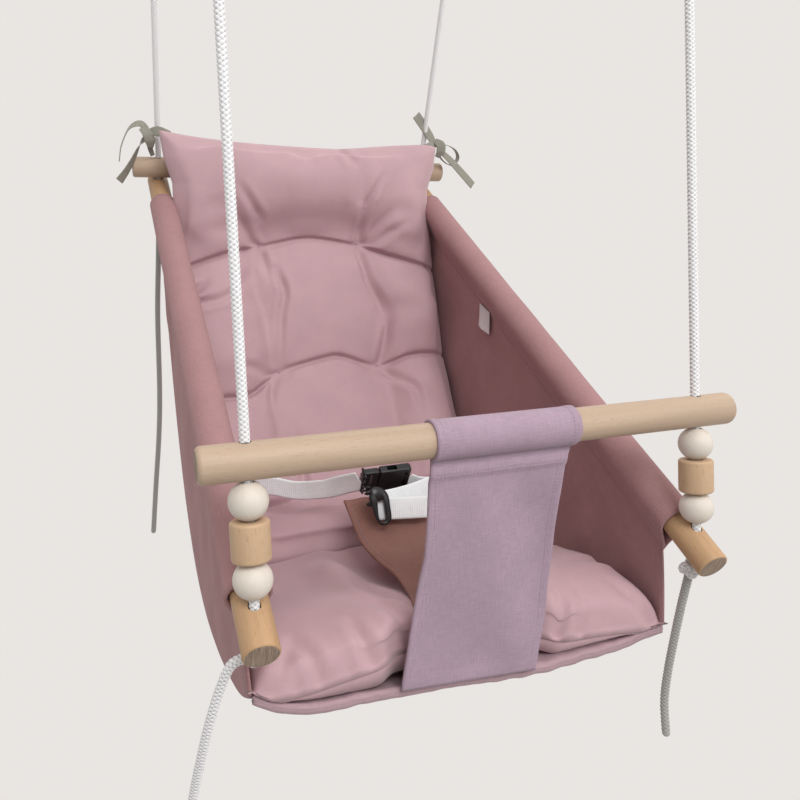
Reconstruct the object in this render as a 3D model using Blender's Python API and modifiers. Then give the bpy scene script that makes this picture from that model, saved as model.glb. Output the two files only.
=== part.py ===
"""Toddler bucket swing: a fabric seat slung between four beech dowels and hung on four braided ropes.

Units are metres, +Z is up, the seat faces -Y and +X is on the right of someone who looks at its front.
The origin is midway between the four ceiling eyes, on the face that their plates are screwed to.
The seat's own parts are laid out from the centre of the front bar with at(x, y, z).
"""

import math

import bmesh
import bpy
from mathutils import Matrix, Vector

# Driving dimensions
FRONT_BAR = Vector((0.0, -0.2824, -0.4500))  # centre of the front safety bar
BACK_BAR = Vector((0.0, 0.2576, -0.2900))  # centre of the back bar
MEETING_POINT = Vector((0.0, -0.0144, 0.8100))  # where a side's two ropes would meet, far above the part
BAR_LENGTH = 0.400
DOWEL_R = 0.012
ROPE_X = 0.170  # the ropes' distance from the centre plane
ROPE_R = 0.0035
BEAD_R = 0.0125
BEAD_HOLE_R = 0.0042
CYLINDER_BEAD_LENGTH = 0.025
DRILL_CLEARANCE = 0.0007
KNOT_R = 0.0088  # of a stopper knot under a side rod
KNOT_HALF_LENGTH = 0.0075
GAP = 0.0003  # between pieces that touch
ROD_OVERHANG = 0.020  # of a side rod past its rope hole
EYE_Z = -0.022  # height of the ceiling eyes' round bars, which the ropes swing on
EYE_BAR_R = 0.003
EYE_WIDTH = 0.018
PLATE_R = 0.022
PLATE_THICKNESS = 0.004
SCREW_X = 0.0155
SCREW_LENGTH = 0.016
SHANK_R = 0.0019
HEAD_R = 0.0038
LOOP_R = 0.011  # of the rope's top loop, at the middle of the rope
LOOP_PLAY = 0.0013  # between a loop and the eye that it hangs on
FABRIC = 0.0014  # doubled canvas
TUNNEL_R = DOWEL_R + 0.0011  # middle of the canvas that wraps a dowel
STRIP_HALF_WIDTH = 0.1683  # of the back and seat canvas
COVER = 0.0015  # thickness of a cushion's cover
PANEL_HALF_WIDTH = 0.058  # of the crotch panel
WEBBING_WIDTH = 0.020
WEBBING = 0.0014
CROTCH_STRAP_WIDTH = 0.088
REAR_TAIL_END = -0.330  # height of the rear ropes' cut ends, from the front bar
PIVOT_HEIGHT = 0.013  # of the points on the bars about which the ropes turn, above the bars' centres

# Directions of the taut ropes
FRONT_UP = (MEETING_POINT - FRONT_BAR).normalized()
REAR_UP = (MEETING_POINT - BACK_BAR).normalized()

BEAD_HALF_HEIGHT = math.sqrt(BEAD_R**2 - BEAD_HOLE_R**2)
BALL_TOP = DOWEL_R + BEAD_HALF_HEIGHT + 2 * GAP
CYLINDER_AT = BALL_TOP + BEAD_HALF_HEIGHT + CYLINDER_BEAD_LENGTH / 2 + GAP
BALL_LOW = CYLINDER_AT + CYLINDER_BEAD_LENGTH / 2 + BEAD_HALF_HEIGHT + GAP

# A side rod lies under the back bar and touches the lowest bead
ROD_REAR = BACK_BAR - REAR_UP * (2 * DOWEL_R + GAP)
LOW_BEAD = FRONT_BAR - FRONT_UP * BALL_LOW
_span = ROD_REAR - LOW_BEAD
ROD_TILT = math.atan2(_span.z, _span.y) + math.asin((BEAD_R + DOWEL_R + GAP) / _span.length)
ROD_ALONG = Vector((0.0, math.cos(ROD_TILT), math.sin(ROD_TILT)))
ROD_UP = Vector((0.0, -math.sin(ROD_TILT), math.cos(ROD_TILT)))
_to_axis = (LOW_BEAD - ROD_REAR).dot(ROD_UP) / FRONT_UP.dot(ROD_UP)
ROD_FRONT = LOW_BEAD - FRONT_UP * _to_axis
ROD_LENGTH = (ROD_REAR - ROD_FRONT).length + 2 * ROD_OVERHANG

SIDES = {"left": -1, "right": 1}

# The canvas under the child, from the front hem to the back bar, as (y, z) from the front bar
SEAT_LINE = [
    (0.000, -0.192), (0.075, -0.216), (0.155, -0.240), (0.235, -0.252), (0.315, -0.240), (0.390, -0.195),
    (0.447, -0.130), (0.492, -0.055), (0.530, 0.030), (0.549, 0.100), (0.5531, 0.150),
]


def at(x, y, z):
    """A point given from the centre of the front bar."""
    return FRONT_BAR + Vector((x, y, z))


def material(name, color, roughness=0.6, metallic=0.0):
    made = bpy.data.materials.new(name)
    made.use_nodes = True
    shader = made.node_tree.nodes["Principled BSDF"]
    shader.inputs["Base Color"].default_value = (*color, 1.0)
    shader.inputs["Roughness"].default_value = roughness
    shader.inputs["Metallic"].default_value = metallic
    return made


def start():
    for found in list(bpy.data.objects):
        bpy.data.objects.remove(found, do_unlink=True)
    made = {}
    for name in ("toddler_bucket_swing", "cutters"):
        made[name] = bpy.data.collections.new(name)
        bpy.context.scene.collection.children.link(made[name])
    return made["toddler_bucket_swing"], made["cutters"]


PARTS, CUTTERS = start()
BEECH = material("beech", (0.66, 0.46, 0.30), 0.5)
PALE_WOOD = material("pale_wood", (0.76, 0.70, 0.60), 0.5)
ROPE = material("rope", (0.80, 0.80, 0.80), 0.7)
STEEL = material("steel", (0.60, 0.60, 0.62), 0.3, 1.0)
CANVAS = material("canvas", (0.45, 0.31, 0.36), 0.8)
CUSHION = material("cushion", (0.50, 0.34, 0.38), 0.7)
WEB = material("webbing", (0.72, 0.70, 0.67), 0.8)
PLASTIC = material("black_plastic", (0.02, 0.02, 0.02), 0.4)
RIBBON = material("ribbon", (0.29, 0.27, 0.25), 0.8)
LABEL = material("label", (0.80, 0.78, 0.78), 0.8)


def add(name, mesh, surface=None, cutter=False):
    """Link a mesh or curve as a named part, or as a hidden cutter."""
    made = bpy.data.objects.new(name, mesh)
    (CUTTERS if cutter else PARTS).objects.link(made)
    if surface is not None:
        mesh.materials.clear()
        mesh.materials.append(surface)
    if cutter:
        made.hide_render = True
        made.display_type = "WIRE"
    return made


def mesh_of(name, build):
    """A mesh filled by build(bm)."""
    bm = bmesh.new()
    build(bm)
    mesh = bpy.data.meshes.new(name)
    bm.to_mesh(mesh)
    bm.free()
    return mesh


def smooth(made, angle=40):
    made.data.shade_smooth()
    made.data.set_sharp_from_angle(angle=math.radians(angle))


def direction(along):
    """The rotation that turns local Z to a direction."""
    return Vector(along).to_track_quat("Z", "Y").to_matrix().to_4x4()


def cylinder_mesh(name, radius, length, sides=32):
    def build(bm):
        bmesh.ops.create_cone(
            bm, cap_ends=True, segments=sides, radius1=radius, radius2=radius, depth=length
        )

    return mesh_of(name, build)


def box_mesh(name, size):
    def build(bm):
        bmesh.ops.create_cube(bm, size=1.0)
        bmesh.ops.scale(bm, vec=Vector(size), verts=bm.verts)

    return mesh_of(name, build)


def bevel(made, width, segments=2):
    made_bevel = made.modifiers.new("bevel", "BEVEL")
    made_bevel.width = width
    made_bevel.segments = segments
    made_bevel.limit_method = "ANGLE"
    made_bevel.angle_limit = math.radians(50)
    return made_bevel


def boolean(made, other, operation):
    cut = made.modifiers.new(operation.lower(), "BOOLEAN")
    cut.operation = operation
    cut.object = other
    return cut


def turned(name, profile, surface, steps=32, cutter=False):
    """A closed profile of (radius, z) points turned about Z, its outer side listed from top to bottom."""

    def build(bm):
        verts = [bm.verts.new((r, 0.0, z)) for r, z in profile]
        for a, b in zip(verts, verts[1:] + verts[:1]):
            bm.edges.new((a, b))

    made = add(name, mesh_of(name, build), surface, cutter)
    screw = made.modifiers.new("turn", "SCREW")
    screw.steps = steps
    screw.render_steps = steps
    screw.use_merge_vertices = True
    screw.merge_threshold = 0.00001
    return made


def smooth_route(points, step):
    """Points about a step apart on a smooth curve through the given points."""
    pts = [Vector(p) for p in points]
    ends = [2 * pts[0] - pts[1], *pts, 2 * pts[-1] - pts[-2]]
    fine = []
    for i in range(1, len(ends) - 2):
        p0, p1, p2, p3 = ends[i - 1 : i + 3]
        count = max(1, round((p2 - p1).length / step))
        for k in range(count):
            t = k / count
            fine.append(
                0.5 * (2 * p1 + (p2 - p0) * t + (2 * p0 - 5 * p1 + 4 * p2 - p3) * t * t
                       + (3 * p1 - 3 * p2 + p3 - p0) * t**3)
            )
    return [*fine, pts[-1]]


def tube_curve(name, route, radius, thickness=None, resolution=2):
    """A POLY curve tube with filled caps; thickness(point) scales its radius."""
    curve = bpy.data.curves.new(name, "CURVE")
    curve.dimensions = "3D"
    curve.bevel_depth = radius
    curve.bevel_resolution = resolution
    curve.use_fill_caps = True
    line = curve.splines.new("POLY")
    line.points.add(len(route) - 1)
    for point, place in zip(line.points, route):
        point.co = (*place, 1.0)
        point.radius = thickness(place) if thickness else 1.0
    return curve


def as_mesh(curve, name):
    """A curve tube as a closed mesh, so that it can be cut or joined."""
    holder = bpy.data.objects.new("holder", curve)
    PARTS.objects.link(holder)
    bpy.context.view_layer.update()
    mesh = bpy.data.meshes.new_from_object(holder.evaluated_get(bpy.context.evaluated_depsgraph_get()))
    bpy.data.objects.remove(holder, do_unlink=True)
    bm = bmesh.new()
    bm.from_mesh(mesh)
    bmesh.ops.remove_doubles(bm, verts=bm.verts, dist=0.00001)
    bm.to_mesh(mesh)
    bm.free()
    mesh.name = name
    return mesh


def hole(side, end):
    """Where a rope enters the top of a side rod, the hole's direction down, and where it leaves the rod."""
    if end == "front":
        top = ROD_FRONT + FRONT_UP * (DOWEL_R / FRONT_UP.dot(ROD_UP))
        down = Vector((0.0, 0.0, -1.0))
    else:
        top = ROD_REAR + REAR_UP * (DOWEL_R / REAR_UP.dot(ROD_UP))
        down = -REAR_UP
    top = top + Vector((side * ROPE_X, 0.0, 0.0))
    return top, down, top - down * (2 * DOWEL_R / down.dot(ROD_UP))


def tail_points(side, end):
    """The free end of a rope, from its knot to its cut end, chosen by hand."""
    if end == "front" and side < 0:
        return [at(-0.1838, -0.0140, -0.1300), at(-0.1915, -0.0100, -0.1500), at(-0.1976, -0.0060, -0.1746),
                at(-0.2025, 0.0000, -0.2021), at(-0.2083, 0.0100, -0.2425), at(-0.2115, 0.0140, -0.2680)]
    if end == "front":
        return [at(0.1705, -0.0170, -0.1360), at(0.1712, -0.0142, -0.1600), at(0.1714, -0.0122, -0.1900),
                at(0.1708, -0.0115, -0.2220), at(0.1700, -0.0135, -0.2490), at(0.1690, -0.0220, -0.2760)]
    return [at(side * 0.1715, 0.5560, 0.0950), at(side * 0.1740, 0.5600, 0.0500),
            at(side * 0.1785, 0.5610, -0.0240), at(side * 0.1810, 0.5610, -0.1250),
            at(side * 0.1850, 0.5600, -0.1880), at(side * 0.1925, 0.5590, -0.2600),
            at(side * 0.1995, 0.5575, REAR_TAIL_END)]


def lower_route(side_name, end):
    """The rope below its bar, through the beads and the rod: its straight part, its knot, and its tail."""
    side = SIDES[side_name]
    bar, up = (FRONT_BAR, FRONT_UP) if end == "front" else (BACK_BAR, REAR_UP)
    top, down, out = hole(side, end)
    first = bar + Vector((side * ROPE_X, 0.0, 0.0)) + up * (DOWEL_R + GAP)
    mouth = top + up * 0.002
    count = max(1, round((first - mouth).length / 0.016))
    straight = [first.lerp(mouth, k / count) for k in range(count + 1)]
    straight += [top + down * 0.002, out - down * 0.004, out]
    return straight, out + down * (KNOT_HALF_LENGTH + 0.0018), tail_points(side, end)


def lower_rope(side_name, end):
    """One piece of rope that is thicker at its stopper knot."""
    straight, knot, tail = lower_route(side_name, end)
    start, stop = straight[-1], tail[0]
    into, away = (knot - start).normalized(), (stop - knot).normalized()
    knotted = [knot - into * KNOT_HALF_LENGTH * k / 4 for k in (4, 3, 2, 1)] + [knot]
    knotted += [knot + away * KNOT_HALF_LENGTH * k / 4 for k in (1, 2, 3, 4)]

    def thickness(place):
        off = (Vector(place) - knot).length / KNOT_HALF_LENGTH
        return 1.0 + (KNOT_R / ROPE_R - 1.0) * math.sqrt(max(0.0, 1.0 - off * off))

    name = f"rope_end_{end}_{side_name}"
    route = [*straight, *knotted, *smooth_route(tail, 0.016)]
    add(name, tube_curve(name, route, ROPE_R, thickness), ROPE)


def rope_cutter(side_name, end):
    """A fatter tube along the rope, which drills the bar and the rod that it passes through."""
    straight, knot, _ = lower_route(side_name, end)
    above = straight[0] + (straight[0] - straight[-3]).normalized() * 0.010
    below = straight[-1].lerp(knot, 0.9)
    tube = tube_curve("drill", [above, *straight, below], ROPE_R + DRILL_CLEARANCE)
    return add(f"cutter_{end}_{side_name}", as_mesh(tube, "drill"), cutter=True)


def dowel(name, centre, along, length, cutters):
    made = add(name, cylinder_mesh(name, DOWEL_R, length), BEECH)
    made.matrix_world = Matrix.Translation(centre) @ direction(along)
    bevel(made, 0.0012)
    for cutter in cutters:
        boolean(made, cutter, "DIFFERENCE")
    smooth(made)
    return made


def frame():
    drills = {(s, e): rope_cutter(s, e) for s in SIDES for e in ("front", "rear")}
    dowel("front_bar", FRONT_BAR, (1, 0, 0), BAR_LENGTH, [drills[s, "front"] for s in SIDES])
    dowel("back_bar", BACK_BAR, (1, 0, 0), BAR_LENGTH, [drills[s, "rear"] for s in SIDES])
    for name, side in SIDES.items():
        centre = (ROD_REAR + ROD_FRONT) / 2 + Vector((side * ROPE_X, 0.0, 0.0))
        holes = [drills[name, "front"], drills[name, "rear"]]
        dowel(f"side_rod_{name}", centre, ROD_ALONG, ROD_LENGTH, holes)


def beads():
    top_angle = math.acos(BEAD_HOLE_R / BEAD_R)
    turns = [top_angle * (1 - k / 6) for k in range(13)]
    ball = [(BEAD_R * math.cos(a), BEAD_R * math.sin(a)) for a in turns]
    half, edge = CYLINDER_BEAD_LENGTH / 2, 0.0012
    barrel = [(BEAD_HOLE_R, half), (BEAD_R - edge, half), (BEAD_R, half - edge), (BEAD_R, edge - half),
              (BEAD_R - edge, -half), (BEAD_HOLE_R, -half)]
    stack = [("bead_top", ball, BALL_TOP, PALE_WOOD), ("bead_middle", barrel, CYLINDER_AT, BEECH),
             ("bead_bottom", ball, BALL_LOW, PALE_WOOD)]
    for side_name, side in SIDES.items():
        for name, profile, down, surface in stack:
            made = turned(f"{name}_{side_name}", profile, surface, 24)
            place = FRONT_BAR + Vector((side * ROPE_X, 0.0, 0.0)) - FRONT_UP * down
            made.matrix_world = Matrix.Translation(place) @ direction(FRONT_UP)
            smooth(made, 50)


def eye_place(end, side):
    """The middle of a ceiling eye's round bar, on the line of its rope."""
    bar, up = (FRONT_BAR, FRONT_UP) if end == "front" else (BACK_BAR, REAR_UP)
    return bar + up * ((EYE_Z - bar.z) / up.z) + Vector((side * ROPE_X, 0.0, 0.0))


def upper_rope(side_name, end):
    """The taut rope from its bar up to the knot and the loop that hangs on the ceiling eye."""
    side = SIDES[side_name]
    bar, up = (FRONT_BAR, FRONT_UP) if end == "front" else (BACK_BAR, REAR_UP)
    eye = eye_place(end, side)
    loop = eye + up * (EYE_BAR_R + LOOP_PLAY + ROPE_R - LOOP_R)
    knot = loop - up * (LOOP_R + 0.006)
    foot = bar + Vector((side * ROPE_X, 0.0, 0.0)) + up * (DOWEL_R + 0.0009)
    count = round((knot - foot).length / 0.016)
    route = [foot.lerp(knot, k / count) for k in range(count + 1)]
    name = f"rope_{end}_{side_name}"
    made = add(name, as_mesh(tube_curve(name, route, ROPE_R), name), ROPE)

    def ring(bm):
        around = 20
        turn = [Vector((0.0, math.cos(a), math.sin(a))) for a in
                (2 * math.pi * k / around for k in range(around))]
        rows = []
        for out in turn:
            centre = loop + out * LOOP_R
            rows.append([bm.verts.new(centre + ROPE_R * (out * math.cos(b) + Vector((math.sin(b), 0, 0))))
                         for b in (2 * math.pi * j / 8 for j in range(8))])
        for k in range(around):
            for j in range(8):
                a, b = rows[k], rows[(k + 1) % around]
                bm.faces.new((a[j], a[(j + 1) % 8], b[(j + 1) % 8], b[j]))
        bmesh.ops.recalc_face_normals(bm, faces=bm.faces)

    def ball(bm):
        bmesh.ops.create_uvsphere(bm, u_segments=14, v_segments=9, radius=0.0085)
        bmesh.ops.translate(bm, vec=knot, verts=bm.verts)

    for shape, build in (("loop", ring), ("knot", ball)):
        boolean(made, add(f"cutter_{shape}_{end}_{side_name}", mesh_of(shape, build), cutter=True), "UNION")


def ceiling_eye(side_name, end):
    """A round plate with a half-round steel eye under it, and its two countersunk screws."""
    side = SIDES[side_name]
    eye = eye_place(end, side)
    plate_centre = Vector((eye.x, eye.y, -PLATE_THICKNESS / 2))
    name = f"ceiling_eye_{end}_{side_name}"
    made = add(name, cylinder_mesh(name, PLATE_R, PLATE_THICKNESS, 36), STEEL)
    made.location = plate_centre
    bevel(made, 0.0006, 1)
    half = EYE_WIDTH / 2
    legs = [Vector((-half, 0, 0.020)), Vector((-half, 0, 0.013))]
    legs += [Vector((-half * math.cos(a), 0, half - half * math.sin(a))) for a in
             (math.pi * k / 12 for k in range(13))]
    legs += [Vector((half, 0, 0.013)), Vector((half, 0, 0.020))]
    route = [eye + p for p in legs]
    staple = as_mesh(tube_curve("staple", route, EYE_BAR_R), "staple")
    boolean(made, add(f"cutter_staple_{end}_{side_name}", staple, cutter=True), "UNION")
    for letter, x in (("a", -SCREW_X), ("b", SCREW_X)):
        countersunk_screw(f"{letter}_{end}_{side_name}", Vector((eye.x + x, eye.y, 0.0)), made)


def countersunk_screw(name, place, plate):
    """A wood screw whose head lies flush in the underside of a plate, and its hole."""
    low = -PLATE_THICKNESS
    neck = low + 0.0022
    tip = low + SCREW_LENGTH
    hole_profile = [
        (0.0, 0.002), (SHANK_R + GAP, 0.002), (SHANK_R + GAP, neck), (HEAD_R + GAP, low + 0.0002),
        (HEAD_R + GAP, low - 0.002), (0.0, low - 0.002)]
    cut = turned(f"cutter_screw_{name}", hole_profile, None, 20, cutter=True)
    cut.location = place
    boolean(plate, cut, "DIFFERENCE")
    profile = [
        (0.0, tip), (SHANK_R * 0.5, tip - 0.002), (SHANK_R, tip - 0.005), (SHANK_R, neck),
        (HEAD_R, low + 0.0002), (HEAD_R, low), (0.0, low)]
    screw = turned(f"ceiling_screw_{name}", profile, STEEL, 20)
    screw.location = place
    smooth(screw)


def sheet(name, line, half_width, surface, columns=6, thickness=FABRIC):
    """Cloth along a line of (y, z) points, as wide as half_width(index) says, from the front bar."""

    def build(bm):
        rows = []
        for i, (y, z) in enumerate(line):
            half = half_width(i)
            rows.append([bm.verts.new(at(half * (2 * k / columns - 1), y, z)) for k in range(columns + 1)])
        for a, b in zip(rows, rows[1:]):
            for k in range(columns):
                bm.faces.new((a[k], a[k + 1], b[k + 1], b[k]))

    made = add(name, mesh_of(name, build), surface)
    solid = made.modifiers.new("cloth", "SOLIDIFY")
    solid.thickness = thickness
    solid.offset = 0.0
    solid.use_even_offset = True
    smooth(made)
    return made


def arc(centre, radius, first, last, count):
    """(y, z) points on an arc, angles in degrees from +y towards +z."""
    turns = [math.radians(first + (last - first) * k / count) for k in range(count + 1)]
    return [(centre[0] + radius * math.cos(a), centre[1] + radius * math.sin(a)) for a in turns]


def sling():
    bar = (BACK_BAR.y - FRONT_BAR.y, BACK_BAR.z - FRONT_BAR.z)
    line = SEAT_LINE[:-1] + arc(bar, TUNNEL_R, -8, 320, 16)
    narrow = len(SEAT_LINE) - 1

    def half(i):
        if i >= narrow:
            return 0.125
        return {narrow - 1: 0.140, narrow - 2: 0.158}.get(i, STRIP_HALF_WIDTH)

    sheet("sling_back_and_seat", line, half, CANVAS)
    for name, side in SIDES.items():
        side_panel(name, side)


def side_panel(name, side):
    """Canvas that hangs from a side rod: a tunnel round the rod and a flat panel down to the seat line."""
    x = side * ROPE_X
    start_at, end_at = 0.0255, 0.048
    length = (ROD_REAR - ROD_FRONT).length - start_at - end_at
    centre = (ROD_FRONT + ROD_ALONG * start_at + ROD_REAR - ROD_ALONG * end_at) / 2 + Vector((x, 0, 0))
    outer, inner = TUNNEL_R + FABRIC / 2, TUNNEL_R - FABRIC / 2
    half = length / 2
    wall = [(inner, half), (outer, half), (outer, -half), (inner, -half)]
    tunnel = turned(f"sling_side_{name}", wall, CANVAS, 24)
    tunnel.matrix_world = Matrix.Translation(centre) @ direction(ROD_ALONG)
    under = -ROD_UP * TUNNEL_R
    front_top = ROD_FRONT + ROD_ALONG * start_at + under
    rear_top = ROD_REAR - ROD_ALONG * end_at + under
    low = [at(0, y, z) for y, z in smooth_line(SEAT_LINE[:-2], 2)]
    outline = [front_top, *low, rear_top]

    def build(bm):
        bottom = [bm.verts.new((x - FABRIC / 2, p.y, p.z)) for p in outline]
        face = bm.faces.new(bottom)
        moved = bmesh.ops.extrude_face_region(bm, geom=[face])
        verts = [v for v in moved["geom"] if isinstance(v, bmesh.types.BMVert)]
        bmesh.ops.translate(bm, vec=Vector((FABRIC, 0, 0)), verts=verts)
        bmesh.ops.recalc_face_normals(bm, faces=bm.faces)

    flat = add(f"cutter_side_{name}", mesh_of("side", build), cutter=True)
    boolean(tunnel, flat, "UNION")
    smooth(tunnel)


def smooth_line(points, parts):
    """(y, z) points on a smooth curve through the given ones, parts to each stretch."""
    pts = [Vector((0.0, *p)) for p in points]
    ends = [2 * pts[0] - pts[1], *pts, 2 * pts[-1] - pts[-2]]
    fine = []
    for i in range(1, len(ends) - 2):
        p0, p1, p2, p3 = ends[i - 1 : i + 3]
        for k in range(parts):
            t = k / parts
            p = 0.5 * (2 * p1 + (p2 - p0) * t + (2 * p0 - 5 * p1 + 4 * p2 - p3) * t * t
                       + (3 * p1 - 3 * p2 + p3 - p0) * t**3)
            fine.append((p.y, p.z))
    return [*fine, points[-1]]


def crotch_panel():
    line = [(-0.0040, -0.1950), (-0.0040, -0.1300), (-0.0035, -0.0700)]
    line += arc((0.0, 0.0), TUNNEL_R, 255, 255 - 325, 16)
    sheet("crotch_panel", line, lambda i: PANEL_HALF_WIDTH, CANVAS, 4)


def cushion(name, line):
    """A pad's hollow cover along a line of (y, z, thickness, half width), slit underneath for its filling."""
    columns = 5
    rows = len(line) - 1

    def build(bm):
        grid = {}
        for i, (y, z, thickness, half_width) in enumerate(line):
            (y0, z0), (y1, z1) = line[max(i - 1, 0)][:2], line[min(i + 1, rows)][:2]
            along = Vector((0.0, y1 - y0, z1 - z0)).normalized()
            up = Vector((0.0, -along.z, along.y))
            for j in range(columns + 1):
                x = half_width * (2 * j / columns - 1)
                for w in (0, 1):
                    rim = 0.55 if i in (0, rows) or j in (0, columns) else 1.0
                    grid[i, j, w] = bm.verts.new(at(x, y, z) + up * (w - 0.5) * thickness * rim)
        for i in range(rows):
            for j in range(columns):
                for w in (0, 1):
                    corners = ((i, j, w), (i + 1, j, w), (i + 1, j + 1, w), (i, j + 1, w))
                    bm.faces.new([grid[p] for p in corners])
        for i in range(rows):
            for j in (0, columns):
                bm.faces.new([grid[p] for p in ((i, j, 0), (i + 1, j, 0), (i + 1, j, 1), (i, j, 1))])
        for j in range(columns):
            for i in (0, rows):
                bm.faces.new([grid[p] for p in ((i, j, 0), (i, j + 1, 0), (i, j + 1, 1), (i, j, 1))])
        bmesh.ops.recalc_face_normals(bm, faces=bm.faces)

    made = add(name, mesh_of(name, build), CUSHION)
    soft = made.modifiers.new("round", "SUBSURF")
    soft.levels = 1
    soft.render_levels = 1
    cover = made.modifiers.new("cover", "SOLIDIFY")
    cover.thickness = COVER
    cover.offset = -1.0
    middle = rows // 2
    y, z, thickness, _ = line[middle]
    (y0, z0), (y1, z1) = line[middle - 1][:2], line[middle + 1][:2]
    under = Vector((0.0, z1 - z0, y0 - y1)).normalized() * thickness / 2
    slit = add(f"cutter_{name}_slit", box_mesh("slit", (0.080, 0.003, 0.014)), cutter=True)
    slit.matrix_world = Matrix.Translation(at(0, y, z) + under) @ direction(under)
    boolean(made, slit, "DIFFERENCE")
    smooth(made, 60)


def cushions():
    cushion("back_cushion", [
        (0.240, -0.2140, 0.058, 0.165), (0.300, -0.2020, 0.070, 0.166), (0.360, -0.1660, 0.072, 0.166),
        (0.410, -0.1100, 0.073, 0.166), (0.452, -0.0370, 0.073, 0.166), (0.484, 0.0400, 0.070, 0.164),
        (0.494, 0.1000, 0.062, 0.154), (0.4955, 0.1450, 0.050, 0.156), (0.499, 0.1930, 0.040, 0.168)])
    cushion("seat_cushion", [
        (0.006, -0.1600, 0.060, 0.165), (0.055, -0.1710, 0.070, 0.166), (0.110, -0.1880, 0.070, 0.166),
        (0.165, -0.2030, 0.070, 0.166), (0.222, -0.2130, 0.060, 0.165)])


def ribbon(name, route, up, width, thickness, surface):
    """A flat strap along a route; up(k) is the direction across it at route point k."""

    def build(bm):
        rows = []
        for k, place in enumerate(route):
            along = (route[min(k + 1, len(route) - 1)] - route[max(k - 1, 0)]).normalized()
            across = Vector(up(k)).normalized() * width / 2
            out = along.cross(across).normalized() * thickness / 2
            rows.append([bm.verts.new(place + a + b) for a, b in
                         ((across, out), (across, -out), (-across, -out), (-across, out))])
        for a, b in zip(rows, rows[1:]):
            for j in range(4):
                bm.faces.new((a[j], a[(j + 1) % 4], b[(j + 1) % 4], b[j]))
        bm.faces.new(rows[0])
        bm.faces.new(rows[-1])
        bmesh.ops.recalc_face_normals(bm, faces=bm.faces)

    made = add(name, mesh_of(name, build), surface)
    smooth(made)
    return made


# The buckle lies along X, turned about X so that its flat side faces up and forward
BUCKLE = at(-0.008, 0.200, -0.119)
BUCKLE_TURN = math.radians(25)
BUCKLE_FRAME = Matrix.Translation(BUCKLE) @ Matrix.Rotation(BUCKLE_TURN, 4, "X")


def buckle_box(name, size, place, edge=0.0):
    """A black moulding at a place in the buckle's own axes."""
    made = add(name, box_mesh(name, size), PLASTIC)
    made.matrix_world = BUCKLE_FRAME @ Matrix.Translation(place)
    bevel(made, edge)
    return made


def buckle_cutter(name, size, place):
    cut = add(name, box_mesh(name, size), cutter=True)
    cut.matrix_world = BUCKLE_FRAME @ Matrix.Translation(place)
    return cut


def buckle():
    socket = buckle_box("buckle_socket", (0.032, 0.009, 0.028), (0.016, 0, 0), 0.0018)
    for name, size, place in (
        ("cutter_socket_mouth", (0.022, 0.0052, 0.0212), (0.0105, 0, 0)),
        ("cutter_socket_windows", (0.010, 0.0052, 0.040), (0.0125, 0, 0)),
        ("cutter_socket_slot", (0.0028, 0.020, 0.0215), (0.0270, 0, 0)),
    ):
        boolean(socket, buckle_cutter(name, size, place), "DIFFERENCE")
    plug = buckle_box("buckle_plug", (0.016, 0.007, 0.027), (-0.0085, 0, 0), 0.0015)
    tongue = buckle_cutter("cutter_plug_tongue", (0.020, 0.0036, 0.0060), (0.0082, 0, 0))
    boolean(plug, tongue, "UNION")
    for name, x in (("cutter_plug_slot_outer", -0.0135), ("cutter_plug_slot_inner", -0.0080)):
        boolean(plug, buckle_cutter(name, (0.0024, 0.020, 0.0215), (x, 0, 0)), "DIFFERENCE")
    for name, side in (("upper", 1), ("lower", -1)):
        buckle_box(f"buckle_prong_{name}", (0.0168, 0.0042, 0.0030), (0.0087, 0, side * 0.0082), 0.0008)


def harness():
    left = smooth_route([at(-0.140, 0.282, -0.150), at(-0.103, 0.266, -0.1425), at(-0.075, 0.254, -0.1460),
                         at(-0.050, 0.234, -0.1390), at(-0.036, 0.216, -0.1280),
                         BUCKLE + Vector((-0.0172, 0, 0))], 0.012)
    right = smooth_route([BUCKLE + Vector((0.0325, 0, 0)), at(0.055, 0.212, -0.133), at(0.105, 0.250, -0.148),
                          at(0.150, 0.285, -0.158)], 0.012)
    tilt = Vector((0.0, -math.sin(BUCKLE_TURN), math.cos(BUCKLE_TURN)))
    for name, route, last in (("left", left, len(left) - 1), ("right", right, 0)):
        def across(k, last=last, count=len(route) - 1):
            near = 1 - abs(k - last) / count
            return tilt * near + Vector((0, -0.05, 1)) * (1 - near)
        ribbon(f"waist_strap_{name}", route, across, WEBBING_WIDTH, WEBBING, WEB)
    flap = smooth_route([at(0.012, 0.190, -0.1480), at(0.010, 0.150, -0.1520), at(0.008, 0.095, -0.1400),
                         at(0.006, 0.045, -0.1290), at(0.004, 0.010, -0.1300), at(0.004, 0.0035, -0.1500),
                         at(0.004, 0.0035, -0.1780)], 0.014)
    ribbon("crotch_strap", flap, lambda k: (1, 0, 0), CROTCH_STRAP_WIDTH, 0.0022, CANVAS)


def trimmings():
    routes = {
        "left": [at(-0.1835, 0.5270, 0.2080), at(-0.1950, 0.5230, 0.2000), at(-0.2060, 0.5220, 0.1780),
                 at(-0.2090, 0.5210, 0.1480)],
        "right": [at(0.1835, 0.5270, 0.2000), at(0.2050, 0.5230, 0.1850), at(0.2260, 0.5220, 0.1620),
                  at(0.2430, 0.5210, 0.1430)],
    }
    for name, route in routes.items():
        ribbon(f"ribbon_tie_{name}", smooth_route(route, 0.010), lambda k: (0, 1, 0), 0.010, 0.0012, RIBBON)
    label = add("side_label", box_mesh("side_label", (0.0008, 0.030, 0.028)), LABEL)
    label.location = at(ROPE_X - FABRIC / 2 - 0.0009, 0.320, 0.000)


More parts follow.
